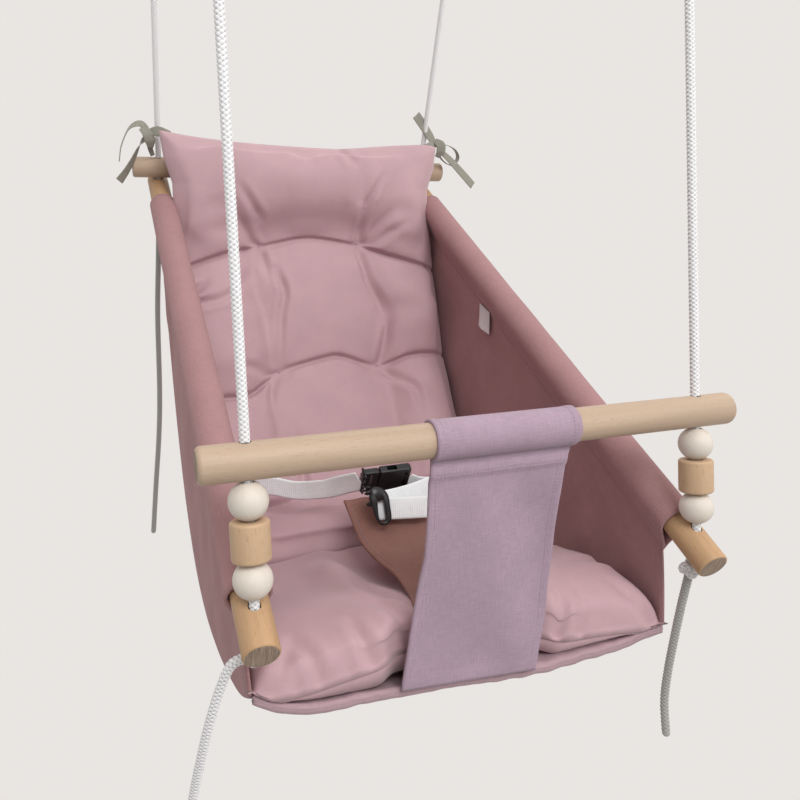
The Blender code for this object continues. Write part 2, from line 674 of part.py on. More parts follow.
def joint_axes():
    """Empties on the joints' axes, which carry the pieces that turn about them."""
    pieces = list(PARTS.objects)
    places = {
        "swing_axis": eye_place("front", 0),
        "seat_axis": FRONT_BAR + FRONT_UP * PIVOT_HEIGHT,
        "rear_rope_axis": BACK_BAR + REAR_UP * PIVOT_HEIGHT,
        "prong_axis_upper": BUCKLE_FRAME @ Vector((0.0003, 0.0, 0.0082)),
        "prong_axis_lower": BUCKLE_FRAME @ Vector((0.0003, 0.0, -0.0082)),
    }
    carriers = {}
    for name, place in places.items():
        carriers[name] = bpy.data.objects.new(name, None)
        carriers[name].empty_display_size = 0.03
        carriers[name].location = place
        PARTS.objects.link(carriers[name])
    carried = {"rope_front_": "swing_axis", "rope_rear_": "rear_rope_axis",
               "buckle_prong_upper": "prong_axis_upper", "buckle_prong_lower": "prong_axis_lower"}
    for piece in pieces:
        if piece.name.startswith("ceiling_"):
            continue
        name = next((axis for start, axis in carried.items() if piece.name.startswith(start)), "seat_axis")
        piece.parent = carriers[name]
        piece.matrix_parent_inverse = Matrix.Translation(-places[name])
    for name in places:
        if name != "swing_axis":
            above = "swing_axis" if name == "seat_axis" else "seat_axis"
            carriers[name].parent = carriers[above]
            carriers[name].matrix_parent_inverse = Matrix.Translation(-places[above])


def build():
    frame()
    beads()
    for side_name in SIDES:
        for end in ("front", "rear"):
            upper_rope(side_name, end)
            lower_rope(side_name, end)
            ceiling_eye(side_name, end)
    sling()
    crotch_panel()
    cushions()
    buckle()
    harness()
    trimmings()
    joint_axes()


build()
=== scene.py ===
"""Looks of the toddler bucket swing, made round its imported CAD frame.

Lengths are metres in the part's frame: +Z up, the seat faces -Y, +X is on the right of someone who looks at
its front, and the origin is midway between the four ceiling eyes. at(x, y, z) counts from the front bar.
"""

import math

import bmesh
import bpy
import numpy as np
from mathutils import Matrix, Vector, noise


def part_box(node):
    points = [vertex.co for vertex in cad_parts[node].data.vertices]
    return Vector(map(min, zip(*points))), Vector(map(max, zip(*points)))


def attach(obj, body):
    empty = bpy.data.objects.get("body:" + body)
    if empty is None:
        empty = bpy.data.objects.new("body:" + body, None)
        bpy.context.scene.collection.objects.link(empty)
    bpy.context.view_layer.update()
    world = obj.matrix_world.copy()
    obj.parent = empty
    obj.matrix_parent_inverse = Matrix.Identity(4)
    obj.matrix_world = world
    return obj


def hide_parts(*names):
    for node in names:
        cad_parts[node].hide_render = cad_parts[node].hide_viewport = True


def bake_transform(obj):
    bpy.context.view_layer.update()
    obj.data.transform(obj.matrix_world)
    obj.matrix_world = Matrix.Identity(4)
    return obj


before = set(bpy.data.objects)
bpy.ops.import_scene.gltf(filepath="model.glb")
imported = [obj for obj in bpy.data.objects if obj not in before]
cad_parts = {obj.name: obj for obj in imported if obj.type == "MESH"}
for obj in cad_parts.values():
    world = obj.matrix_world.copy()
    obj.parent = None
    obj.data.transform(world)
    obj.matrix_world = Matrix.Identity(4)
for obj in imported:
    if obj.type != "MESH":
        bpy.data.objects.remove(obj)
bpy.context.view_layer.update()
SIDES = {"left": -1, "right": 1}


def middle(node):
    low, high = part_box(node)
    return (low + high) / 2


# The frame's dimensions, as in the CAD
FRONT_BAR = middle("front_bar")
BACK_BAR = middle("back_bar")
MEETING_POINT = Vector((0.0, -0.0144, 0.8100))  # where a side's two ropes would meet
BAR_LENGTH = 0.400
DOWEL_R = 0.012
ROPE_X = 0.170
ROPE_R = 0.0035
BEAD_R = 0.0125
BEAD_HOLE_R = 0.0042
CYLINDER_BEAD_LENGTH = 0.025
KNOT_HALF_LENGTH = 0.0075
GAP = 0.0003
ROD_OVERHANG = 0.020
EYE_Z = -0.022
EYE_BAR_R = 0.003
LOOP_R = 0.011
LOOP_PLAY = 0.0013
CANVAS_THICKNESS = 0.0014
TUNNEL_R = 0.0131

FRONT_UP = (MEETING_POINT - FRONT_BAR).normalized()
REAR_UP = (MEETING_POINT - BACK_BAR).normalized()
BARS = {"front": (FRONT_BAR, FRONT_UP), "rear": (BACK_BAR, REAR_UP)}  # a rope end's bar and direction
ROD_REAR = BACK_BAR - REAR_UP * (2 * DOWEL_R + GAP)
LOW_BEAD = (middle("bead_bottom_left") + middle("bead_bottom_right")) / 2
SPAN = ROD_REAR - LOW_BEAD
ROD_TILT = math.atan2(SPAN.z, SPAN.y) + math.asin((BEAD_R + DOWEL_R + GAP) / SPAN.length)
ROD_ALONG = Vector((0.0, math.cos(ROD_TILT), math.sin(ROD_TILT)))
ROD_UP = Vector((0.0, -math.sin(ROD_TILT), math.cos(ROD_TILT)))
ROD_FRONT = LOW_BEAD - FRONT_UP * ((LOW_BEAD - ROD_REAR).dot(ROD_UP) / FRONT_UP.dot(ROD_UP))
ROD_LENGTH = (ROD_REAR - ROD_FRONT).length + 2 * ROD_OVERHANG

# The canvas under the child, from the front hem to the back bar, as (y, z) from the front bar
SEAT_LINE = [
    (0.000, -0.192), (0.075, -0.216), (0.155, -0.240), (0.235, -0.252), (0.315, -0.240), (0.390, -0.195),
    (0.447, -0.130), (0.492, -0.055), (0.530, 0.030), (0.549, 0.100), (0.5531, 0.150),
]


def at(x, y, z):
    """A point given from the centre of the front bar."""
    return FRONT_BAR + Vector((x, y, z))


# ---------------------------------------------------------------- camera


def camera():
    data = bpy.data.cameras.new("camera")
    data.sensor_width = 36.0
    data.lens = 33.75
    data.shift_x = 0.0397
    data.shift_y = -0.0441
    made = bpy.data.objects.new("camera", data)
    bpy.context.scene.collection.objects.link(made)
    made.location = (-0.2458, -0.7022, -0.2705)
    made.rotation_euler = [math.radians(a) for a in (74.429, -1.396, -19.618)]
    bpy.context.scene.camera = made


# ---------------------------------------------------------------- materials


class Surface:
    """A Principled material, with short ways to add nodes to it."""

    def __init__(self, name, color, roughness, **fixed):
        self.material = bpy.data.materials.new(name)
        self.material.use_nodes = True
        self.tree = self.material.node_tree
        self.shader = self.tree.nodes["Principled BSDF"]
        self.shader.inputs["Base Color"].default_value = (*color, 1.0)
        self.shader.inputs["Roughness"].default_value = roughness
        for key, value in fixed.items():
            self.shader.inputs[key.replace("_", " ")].default_value = value

    def node(self, kind, inputs=None, **settings):
        made = self.tree.nodes.new("ShaderNode" + kind)
        for key, value in settings.items():
            setattr(made, key, value)
        for key, value in (inputs or {}).items():
            self.feed(made.inputs[key], value)
        return made

    def feed(self, socket, value):
        if isinstance(value, bpy.types.NodeSocket):
            self.tree.links.new(value, socket)
        else:
            socket.default_value = value

    def place(self, source="Object", scale=(1.0, 1.0, 1.0)):
        """The object's own coordinates, or the cloth's, stretched."""
        coords = self.node("TexCoord").outputs[source]
        return self.node("VectorMath", {0: coords, 1: scale}, operation="MULTIPLY").outputs[0]

    def noise(self, where, scale=1.0, detail=3.0, roughness=0.5, distortion=0.0):
        inputs = {"Vector": where, "Scale": scale, "Detail": detail, "Roughness": roughness,
                  "Distortion": distortion}
        return self.node("TexNoise", inputs).outputs["Fac"]

    def math(self, operation, a, b=0.0, clamp=False):
        return self.node("Math", {0: a, 1: b}, operation=operation, use_clamp=clamp).outputs[0]

    def ramp(self, factor, *stops):
        """Colours blended by a factor; each stop is (position, colour)."""
        made = self.node("ValToRGB", {"Fac": factor})
        points = made.color_ramp.elements
        while len(points) < len(stops):
            points.new(1.0)
        for point, (position, color) in zip(points, stops):
            point.position = position
            point.color = (*color, 1.0)
        return made.outputs["Color"]

    def mix(self, factor, a, b, kind="MIX"):
        made = self.node("Mix", data_type="RGBA", blend_type=kind)
        self.feed(made.inputs["Factor"], factor)
        self.feed(made.inputs[6], a if isinstance(a, bpy.types.NodeSocket) else (*a, 1.0))
        self.feed(made.inputs[7], b if isinstance(b, bpy.types.NodeSocket) else (*b, 1.0))
        return made.outputs[2]

    def color(self, value):
        self.feed(self.shader.inputs["Base Color"], value)

    def rough(self, factor, low, high):
        made = self.node("MapRange", {"Value": factor, "To Min": low, "To Max": high})
        self.feed(self.shader.inputs["Roughness"], made.outputs[0])

    def bump(self, height, distance, strength=1.0):
        made = self.node("Bump", {"Height": height, "Strength": strength, "Distance": distance})
        self.feed(self.shader.inputs["Normal"], made.outputs[0])


def shade(color, share):
    return tuple(c * share for c in color)


def wood(name, color, streak, contrast=0.12, flecks=0.35):
    """Fine-pored wood whose grain runs along the object's own Z."""
    made = Surface(name, color, 0.5, Specular_IOR_Level=0.35)
    fibres = made.noise(made.place(scale=(420.0, 420.0, 16.0)), detail=4.0, roughness=0.6)
    bands = made.noise(made.place(scale=(70.0, 70.0, 3.5)), detail=2.0, distortion=0.6)
    rays = made.noise(made.place(scale=(1300.0, 1300.0, 190.0)), detail=1.0)
    base = made.ramp(bands, (0.30, shade(color, 1 - contrast)), (0.70, shade(color, 1 + contrast * 0.5)))
    with_fibres = made.mix(made.math("MULTIPLY", fibres, 0.5), base, streak)
    fleck = made.node("MapRange", {"Value": rays, "From Min": 0.62, "From Max": 0.74}).outputs[0]
    made.color(made.mix(made.math("MULTIPLY", fleck, flecks), with_fibres, shade(streak, 0.72)))
    made.rough(fibres, 0.42, 0.60)
    made.bump(made.math("ADD", fibres, made.math("MULTIPLY", rays, 0.5)), 0.00022, 0.6)
    return made.material


def end_grain(name, color, streak):
    """A sawn end, with the saw's parallel marks across faint growth rings."""
    made = Surface(name, color, 0.7, Specular_IOR_Level=0.25)
    saw = made.noise(made.place(scale=(1100.0, 60.0, 60.0)), detail=2.0, roughness=0.7)
    rings = made.node("TexWave", {"Vector": made.place(), "Scale": 160.0, "Distortion": 3.0, "Detail": 2.0},
                      bands_direction="Y").outputs["Fac"]
    marks = made.ramp(saw, (0.35, streak), (0.62, color))
    made.color(made.mix(made.math("MULTIPLY", rings, 0.22), marks, shade(streak, 0.85)))
    made.bump(saw, 0.00030, 0.8)
    return made.material


def cloth(name, color, thread=0.00062, slub=0.10, depth=0.00016, roughness=0.78, sheen=0.25, tint=None):
    """Plain-woven cloth. Its UV map is in metres along the threads."""
    made = Surface(name, color, roughness, Sheen_Weight=sheen, Sheen_Roughness=0.45, Specular_IOR_Level=0.3)
    made.shader.inputs["Sheen Tint"].default_value = (*(tint or (1.0, 0.93, 0.95)), 1.0)
    turns = math.pi / thread
    warp = made.noise(made.place("UV", (1 / thread, 1 / (thread * 16), 1.0)), detail=2.0)
    weft = made.noise(made.place("UV", (1 / (thread * 16), 1 / thread, 1.0)), detail=2.0)
    split = made.node("SeparateXYZ", {0: made.place("UV", (turns, turns, 1.0))})
    over = made.math("MULTIPLY", made.math("SINE", split.outputs[0]), made.math("SINE", split.outputs[1]))
    threads = made.math("ADD", warp, weft)
    patches = made.noise(made.place("UV", (26.0, 26.0, 1.0)), detail=3.0)
    light = made.ramp(made.math("MULTIPLY", threads, 0.5), (0.36, shade(color, 1 - slub)),
                      (0.64, shade(color, 1 + slub)))
    worn = made.ramp(patches, (0.30, (0.95, 0.95, 0.95)), (0.70, (1.04, 1.04, 1.04)))
    tone = made.mix(1.0, light, worn, "MULTIPLY")
    # Between the thread crowns the colour is mixed a little towards a darker copy: painted shade in the
    # weave's gaps.
    gaps = made.math("MULTIPLY", made.math("MULTIPLY", over, over), 0.10)
    made.color(made.mix(made.math("SUBTRACT", 0.10, gaps, clamp=True), tone, shade(color, 0.6)))
    made.rough(threads, roughness - 0.12, roughness + 0.12)
    made.bump(made.math("ADD", threads, made.math("MULTIPLY", over, 0.35)), depth)
    return made.material


def rope_surface(name, light, dark):
    """Braided fibre: the attribute groove is 0 on a strand's crown and 1 between strands."""
    made = Surface(name, light, 0.62, Sheen_Weight=0.2, Specular_IOR_Level=0.35)
    groove = made.node("Attribute", attribute_name="groove").outputs["Fac"]
    fibre = made.noise(made.place(scale=(2600.0, 2600.0, 2600.0)), detail=2.0)
    crown = made.ramp(fibre, (0.3, shade(light, 0.93)), (0.7, light))
    # Towards groove 1 the colour is mixed to dark: painted shade between the strands, not a dye.
    made.color(made.mix(made.ramp(groove, (0.40, (0.0,) * 3), (0.95, (1.0,) * 3)), crown, dark))
    made.bump(fibre, 0.00012, 0.6)
    return made.material


def plastic(name):
    made = Surface(name, (0.012, 0.012, 0.014), 0.34, Specular_IOR_Level=0.5)
    grain = made.noise(made.place(scale=(1500.0,) * 3), detail=2.0)
    made.color(made.ramp(grain, (0.3, (0.009, 0.009, 0.010)), (0.7, (0.020, 0.019, 0.021))))
    made.rough(grain, 0.28, 0.44)
    made.bump(grain, 0.00006, 0.5)
    return made.material


def steel(name):
    made = Surface(name, (0.56, 0.56, 0.58), 0.32, Metallic=1.0)
    brushed = made.noise(made.place(scale=(60.0, 1800.0, 1800.0)), detail=3.0)
    made.color(made.ramp(brushed, (0.3, (0.48, 0.48, 0.50)), (0.7, (0.66, 0.66, 0.68))))
    made.rough(brushed, 0.24, 0.42)
    made.bump(brushed, 0.00004, 0.5)
    return made.material


BEECH = wood("beech", (0.515, 0.390, 0.290), (0.420, 0.292, 0.192))
BEECH_TURNED = wood("beech_turned", (0.600, 0.420, 0.270), (0.450, 0.290, 0.165), 0.14, 0.5)
BEECH_SIDE = wood("beech_side", (0.520, 0.335, 0.190), (0.370, 0.205, 0.095), 0.16)
PALE_WOOD = wood("pale_wood", (0.715, 0.665, 0.600), (0.620, 0.545, 0.455), 0.06, 0.05)
BEECH_END = end_grain("beech_end", (0.400, 0.310, 0.235), (0.220, 0.160, 0.120))
# Each rope's second colour is the painted shade between its strands.
ROPE = rope_surface("rope", (0.86, 0.86, 0.87), (0.150, 0.170, 0.180))
# A darker grey copy of the white rope for the tails: painted shade, not a different rope.
SHADED_TAIL_ROPE = rope_surface("rope_painted_shade", (0.400, 0.395, 0.375), (0.130, 0.130, 0.120))
CANVAS = cloth("canvas", (0.400, 0.222, 0.228), sheen=0.10, tint=(1.0, 0.80, 0.82))
STRIP_CANVAS = cloth("strip_canvas", (0.450, 0.310, 0.345), sheen=0.12)
PANEL_CANVAS = cloth("panel_canvas", (0.400, 0.292, 0.365), slub=0.12, sheen=0.15)
# The flap's cloth is the pink canvas made darker and browner: painted shade on the flap.
SHADED_FLAP_CANVAS = cloth("flap_canvas_in_painted_shade", (0.300, 0.150, 0.125), sheen=0.08, tint=(1.0, 0.80, 0.75))
SATIN = cloth("cushion_satin", (0.525, 0.345, 0.372), thread=0.0004, slub=0.04, depth=0.00005,
              roughness=0.52, sheen=0.30)
WEB = cloth("webbing", (0.90, 0.93, 0.94), thread=0.0009, slub=0.04, depth=0.00006, tint=(1.0, 1.0, 1.0))
RIBBON = cloth("ribbon", (0.300, 0.290, 0.245), thread=0.0007, slub=0.08, tint=(1.0, 1.0, 0.95))
LABEL = cloth("label", (0.74, 0.72, 0.73), thread=0.0004, slub=0.04, depth=0.00005, tint=(1.0, 1.0, 1.0))
THREAD = cloth("thread", (0.480, 0.375, 0.440), thread=0.0003, slub=0.1, depth=0.00003)
PINK_THREAD = cloth("pink_thread", (0.430, 0.300, 0.330), thread=0.0003, slub=0.1, depth=0.00003)
PLASTIC = plastic("black_plastic")
STEEL = steel("brushed_steel")


# ---------------------------------------------------------------- mesh helpers


def link(name, mesh, surface, body=None, slot=None, replaces=(), matrix=None):
    """A piece made of a mesh, with its material, body and the CAD nodes that it stands for. Its slot is not
    used.
    """
    made = bpy.data.objects.new(name, mesh)
    bpy.context.scene.collection.objects.link(made)
    if surface is not None and not mesh.materials:
        mesh.materials.append(surface)
    if matrix is not None:
        made.matrix_world = matrix
    if body:
        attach(made, body)
    if replaces:
        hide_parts(*replaces)
    return made


def unit(vectors):
    """The same directions with length 1."""
    return vectors / (np.linalg.norm(vectors, axis=-1, keepdims=True) + 1e-12)


def distances(line):
    """How far along a line each of its points is."""
    return np.concatenate([[0], np.cumsum(np.linalg.norm(np.diff(line, axis=0), axis=1))])


def read_at(marks, keys, rows):
    """Rows of numbers interpolated at marks, where keys says each row's place."""
    rows = np.asarray(rows, float)
    return np.stack([np.interp(marks, keys, rows[:, k]) for k in range(rows.shape[1])], 1)


def facing(line, direction):
    """A line of stitches whose thread lies on cloth that faces one way."""
    return line, np.tile(direction, (len(line), 1))


def mesh_from(name, points, faces, smooth=True):
    mesh = bpy.data.meshes.new(name)
    mesh.from_pydata([tuple(map(float, p)) for p in points], [], [tuple(map(int, f)) for f in faces])
    mesh.update()
    if smooth:
        mesh.shade_smooth()
    return mesh


def grid_faces(rows, columns, wrap=False):
    """Quads over a grid of rows by columns of points, closed across its columns if wrap."""
    r, c = np.meshgrid(np.arange(rows - 1), np.arange(columns if wrap else columns - 1), indexing="ij")
    r, c = r.ravel(), c.ravel()
    after = (c + 1) % columns
    return np.stack([r * columns + c, r * columns + after, (r + 1) * columns + after,
                     (r + 1) * columns + c], 1)


def add_uv(mesh, uv):
    """A UV map from one (u, v) for each vertex."""
    layer = mesh.uv_layers.new(name="cloth")
    index = np.zeros(len(mesh.loops), int)
    mesh.loops.foreach_get("vertex_index", index)
    layer.data.foreach_set("uv", np.asarray(uv, np.float32)[index].ravel())


def cloth_sheet(name, points, surface, thickness=CANVAS_THICKNESS, hem=None, **link_options):
    """Cloth over a grid of points of shape (rows, columns, 3), thicker where hem is over 0."""
    rows, columns = points.shape[:2]
    across = np.linalg.norm(np.diff(points, axis=1), axis=2).mean(0)
    down = np.linalg.norm(np.diff(points, axis=0), axis=2).mean(1)
    u = np.concatenate([[0], np.cumsum(across)])
    v = np.concatenate([[0], np.cumsum(down)])
    mesh = mesh_from(name, points.reshape(-1, 3), grid_faces(rows, columns))
    add_uv(mesh, np.stack(np.meshgrid(u, v), 2).reshape(-1, 2))
    made = link(name, mesh, surface, **link_options)
    solid = made.modifiers.new("thickness", "SOLIDIFY")
    solid.thickness = thickness
    solid.offset = 0.0
    if hem is not None:
        group = made.vertex_groups.new(name="hem")
        for k, share in enumerate(np.asarray(hem).ravel()):
            group.add([k], float(share), "REPLACE")
        solid.vertex_group = "hem"
    return made


def catmull_rom(p0, p1, p2, p3, t):
    """A smooth curve from p1 to p2 as t goes from 0 to 1."""
    return 0.5 * (2 * p1 + (p2 - p0) * t + (2 * p0 - 5 * p1 + 4 * p2 - p3) * t**2
                  + (3 * p1 - 3 * p2 + p3 - p0) * t**3)


def smooth_line(points, step):
    """Points about a step apart on a smooth curve through the given ones, as an array."""
    pts = np.array([tuple(p) for p in points], float)
    ends = np.concatenate([[2 * pts[0] - pts[1]], pts, [2 * pts[-1] - pts[-2]]])
    t = np.linspace(0, 1, 24, endpoint=False)[:, None]
    fine = [catmull_rom(*four, t) for four in zip(ends, ends[1:], ends[2:], ends[3:])]
    return resampled(np.concatenate([*fine, pts[-1:]]), step)


def resampled(line, step):
    """A line's points moved to about a step apart."""
    along = distances(np.asarray(line, float))
    marks = np.linspace(0, along[-1], max(2, round(along[-1] / step) + 1))
    return read_at(marks, along, line)


def length_of(line):
    return float(np.linalg.norm(np.diff(np.asarray(line), axis=0), axis=1).sum())


def bell(x, centre, width):
    return np.exp(-(((x - centre) / width) ** 2))


def wrinkle(point):
    """Smooth noise between -1 and 1, read at 2 or 3 coordinates."""
    return noise.noise(Vector((*point, 0.0)[:3]))


def lathe(name, profile, sides=72):
    """A profile of (radius, z) points turned about Z, its outer side from bottom to top; closed on the axis
    where it starts and ends at radius 0, or as a ring."""
    on_axis = profile[0][0] == 0
    ring = profile[1:-1] if on_axis else profile
    turns = np.linspace(0, 2 * math.pi, sides, endpoint=False)
    points = [(r * math.cos(a), r * math.sin(a), z) for r, z in ring for a in turns]
    faces = [tuple(f) for f in grid_faces(len(ring), sides, wrap=True)]
    last = (len(ring) - 1) * sides
    if on_axis:
        points += [(0, 0, profile[0][1]), (0, 0, profile[-1][1])]
        low, high = len(points) - 2, len(points) - 1
        faces += [(low, (k + 1) % sides, k) for k in range(sides)]
        faces += [(high, last + k, last + (k + 1) % sides) for k in range(sides)]
    else:
        faces += [(last + k, last + (k + 1) % sides, (k + 1) % sides, k) for k in range(sides)]
    return mesh_from(name, points, faces)


def turned_to(place, along):
    return Matrix.Translation(place) @ Vector(along).to_track_quat("Z", "Y").to_matrix().to_4x4()


def stitches(name, lines, surface, body, slot, pitch=0.0030, length=0.0022, radius=0.00024):
    """Rows of sewing thread. Each line is (points, directions out of the cloth)."""
    rings, sides = 5, 6
    t = np.linspace(-1, 1, rings)
    swell = np.sqrt(np.clip(1 - t**4, 0.05, 1))
    turns = np.linspace(0, 2 * math.pi, sides, endpoint=False)
    shape = np.array([
        (x * length / 2, s * radius * 1.25 * math.cos(a), s * radius * math.sin(a) - x * x * 0.0002)
        for x, s in zip(t, swell) for a in turns])
    quads = grid_faces(rings, sides, wrap=True)
    caps = [list(range(sides))[::-1], list(range((rings - 1) * sides, rings * sides))]
    points, faces = [], []
    for line, out in lines:
        line = np.asarray(line, float)
        along = distances(line)
        marks = np.arange(pitch / 2, along[-1] - pitch / 2, pitch)
        place = read_at(marks, along, line)
        forward = unit(read_at(marks + pitch / 2, along, line) - place)
        across = unit(np.cross(read_at(marks, along, out), forward))
        axes = np.stack([forward, across, np.cross(forward, across)], 1)
        for centre, turn in zip(place, axes):
            start = len(points) * len(shape)
            points.append(centre + shape @ turn)
            faces += [tuple(f + start) for f in quads] + [tuple(i + start for i in cap) for cap in caps]
    mesh = mesh_from(name, np.concatenate(points), faces)
    add_uv(mesh, np.concatenate(points)[:, :2])
    return link(name, mesh, surface, body, slot)


# ---------------------------------------------------------------- ropes

CARRIERS = 4  # strands in each direction round the braid
PLAIT = 0.0031  # length of one plait along the rope
ROW = 0.0005
AROUND = 40


def frames_along(line):
    """Directions across a line, carried along it without twist."""
    along = unit(np.gradient(line, axis=0))
    side = np.cross(along[0], (1.0, 0.0, 0.0))
    if np.linalg.norm(side) < 0.1:
        side = np.cross(along[0], (0.0, 1.0, 0.0))
    across = np.empty_like(line)
    for k, a in enumerate(along):
        side = side - a * (side @ a)
        side = side / np.linalg.norm(side)
        across[k] = side
    return across, np.cross(along, across)


def braid(name, line, surface, body, node=None, radius=ROPE_R, melted=(False, False)):
    """A plaited rope along a line of points, in place of a CAD node. A melted end is round and smooth."""
    line = resampled(line, ROW)
    across, up = frames_along(line)
    s = np.arange(len(line))[:, None] * ROW
    turn = np.linspace(0, 2 * math.pi, AROUND, endpoint=False)[None, :]
    a = CARRIERS * turn / (2 * math.pi) + s / PLAIT
    b = CARRIERS * turn / (2 * math.pi) - s / PLAIT
    over = (np.floor(a) + np.floor(b)) % 2 == 0
    off = 2 * (np.where(over, a, b) % 1 - 0.5)
    lengthways = 2 * (np.where(over, b, a) % 1 - 0.5)
    height = np.sqrt(np.clip(1 - off**2, 0, 1)) * np.sqrt(np.clip(1 - 0.92 * lengthways**2, 0, 1))
    total = (len(line) - 1) * ROW
    close = np.ones_like(s)
    for flag, distance in zip(melted, (s, total - s)):
        if flag:
            close = close * np.sqrt(np.clip(1 - (1 - np.clip(distance / 0.0030, 0, 1)) ** 2, 0.01, 1))
            plaited = np.clip(distance / 0.006, 0, 1)
            height = height * plaited + 0.55 * (1 - plaited)
    reach = (radius * (0.76 + 0.23 * height) * close)[..., None]
    round_it = np.cos(turn)[..., None] * across[:, None] + np.sin(turn)[..., None] * up[:, None]
    faces = [tuple(f) for f in grid_faces(len(line), AROUND, wrap=True)]
    last = (len(line) - 1) * AROUND
    faces += [tuple(range(AROUND))[::-1], tuple(range(last, last + AROUND))]
    mesh = mesh_from(name, (line[:, None] + reach * round_it).reshape(-1, 3), faces)
    groove = mesh.attributes.new("groove", "FLOAT", "POINT")
    groove.data.foreach_set("value", (1 - height).astype(np.float32).ravel())
    return link(name, mesh, surface, body, "rope", [node] if node else ()), line


def knot(name, centre, along, surface, body, size=0.00185):
    """An overhand knot pulled tight, turned so that the rope runs through it in a direction."""
    t = np.linspace(0, 2 * math.pi, 400)
    local = np.stack([size * (np.sin(t) + 2 * np.sin(2 * t)), size * (np.cos(t) - 2 * np.cos(2 * t)),
                      -0.0031 * np.sin(3 * t)], 1)
    turn = np.array(Vector(along).to_track_quat("Z", "Y").to_matrix())
    return braid(name, local @ turn.T + np.array(centre), surface, body, radius=ROPE_R * 0.93)[0]


def rope_at(side, end, height):
    """A point on a rope's straight line, a height along it from the centre of its bar."""
    bar, up = BARS[end]
    return bar + Vector((side * ROPE_X, 0.0, 0.0)) + up * height


def upper_rope(side_name, end):
    """A taut rope from its bar to the loop that it hangs by on its ceiling eye."""
    side = SIDES[side_name]
    bar, up = BARS[end]
    body = f"{end}_ropes"
    rope = f"rope_{end}_{side_name}"
    eye_height = (EYE_Z - bar.z) / up.z
    loop_at = rope_at(side, end, eye_height + EYE_BAR_R + LOOP_PLAY + ROPE_R - LOOP_R)
    knot_at = loop_at - up * (LOOP_R + 0.006)
    foot = rope_at(side, end, DOWEL_R - 0.0004)
    made, line = braid(f"{rope}_braid", [tuple(foot), tuple(knot_at)], ROPE, body, rope)
    tied = knot(f"{rope}_knot", knot_at, up, ROPE, body, 0.0018)
    turns = np.linspace(-0.5 * math.pi, 1.5 * math.pi, 200)
    ring = np.array(loop_at) + LOOP_R * np.stack([turns * 0, np.cos(turns), np.sin(turns)], 1)
    loop, _ = braid(f"{rope}_loop", ring, ROPE, body)


def hole(side, end):
    """Where a rope enters the top of a side rod, the hole's direction down, and where it leaves the rod."""
    if end == "front":
        top = ROD_FRONT + FRONT_UP * (DOWEL_R / FRONT_UP.dot(ROD_UP))
        down = Vector((0.0, 0.0, -1.0))
    else:
        top = ROD_REAR + REAR_UP * (DOWEL_R / REAR_UP.dot(ROD_UP))
        down = -REAR_UP
    top = top + Vector((side * ROPE_X, 0.0, 0.0))
    return top, down, top - down * (2 * DOWEL_R / down.dot(ROD_UP))


def tail_points(side, end):
    """The free end of a rope under its knot, at the same points as the CAD's."""
    if end == "front" and side < 0:
        return [at(-0.1838, -0.0140, -0.1300), at(-0.1915, -0.0100, -0.1500), at(-0.1976, -0.0060, -0.1746),
                at(-0.2025, 0.0000, -0.2021), at(-0.2083, 0.0100, -0.2425), at(-0.2115, 0.0140, -0.2680)]
    if end == "front":
        return [at(0.1705, -0.0170, -0.1360), at(0.1712, -0.0142, -0.1600), at(0.1714, -0.0122, -0.1900),
                at(0.1708, -0.0115, -0.2220), at(0.1700, -0.0135, -0.2490), at(0.1690, -0.0220, -0.2760)]
    return [at(side * 0.1715, 0.5560, 0.0950), at(side * 0.1740, 0.5600, 0.0500),
            at(side * 0.1785, 0.5610, -0.0240), at(side * 0.1810, 0.5610, -0.1250),
            at(side * 0.1850, 0.5600, -0.1880), at(side * 0.1925, 0.5590, -0.2600),
            at(side * 0.1995, 0.5575, -0.3300)]


def lower_rope(side_name, end):
    """The rope below its bar: through the beads and the side rod, its stopper knot and its free end."""
    side = SIDES[side_name]
    up = BARS[end][1]
    rope = f"rope_end_{end}_{side_name}"
    top, down, out = hole(side, end)
    first = rope_at(side, end, DOWEL_R - 0.0010)
    mouth = top + up * 0.002
    count = max(1, round((first - mouth).length / 0.016))
    knot_at = out + down * (KNOT_HALF_LENGTH + 0.0018)
    route = [first.lerp(mouth, k / count) for k in range(count + 1)]
    route += [top + down * 0.002, out - down * 0.004, out, knot_at, *tail_points(side, end)]
    # Below the rod every free end but the front left one takes the darker copy of the same rope: painted
    # shade on the tails.
    surface = ROPE if end == "front" and side < 0 else SHADED_TAIL_ROPE
    above = length_of([tuple(p) for p in route[: count + 3]])
    made, line = braid(f"{rope}_braid", smooth_line(route, ROW), surface, "seat", rope,
                       melted=(False, True))
    made.data.materials.append(ROPE)
    rows = (np.arange(len(made.data.polygons)) // AROUND) * ROW
    made.data.polygons.foreach_set("material_index", (rows < above).astype(np.int32))
    tied = knot(f"{rope}_knot", knot_at, down, ROPE, "seat")


# ---------------------------------------------------------------- wood and steel


def rounded_dowel(length, edge, steps=7):
    """The (radius, z) outline of a dowel with rounded ends."""
    turns = [math.pi / 2 * k / steps for k in range(steps + 1)]
    low = [(DOWEL_R - edge + edge * math.sin(a), -length / 2 + edge - edge * math.cos(a)) for a in turns]
    inner = [(DOWEL_R - edge - 0.0015, -length / 2)]
    high = [(r, -z) for r, z in reversed(inner + low)]
    middle_rows = [(DOWEL_R, -length / 2 + edge + (length - 2 * edge) * k / 24) for k in range(1, 24)]
    return [(0, -length / 2), *inner, *low, *middle_rows, *high, (0, length / 2)]


def drill(made, points):
    """A hole through a piece along a line between two points in the part's frame."""
    start, end = Vector(points[0]), Vector(points[1])
    along = end - start
    shape = lathe("drill", [(0, -along.length / 2), (BEAD_HOLE_R, -along.length / 2),
                            (BEAD_HOLE_R, along.length / 2), (0, along.length / 2)], 40)
    cutter = link("drill", shape, None, matrix=turned_to((start + end) / 2, along))
    cut = made.modifiers.new("hole", "BOOLEAN")
    cut.operation = "DIFFERENCE"
    cut.object = cutter
    return cutter


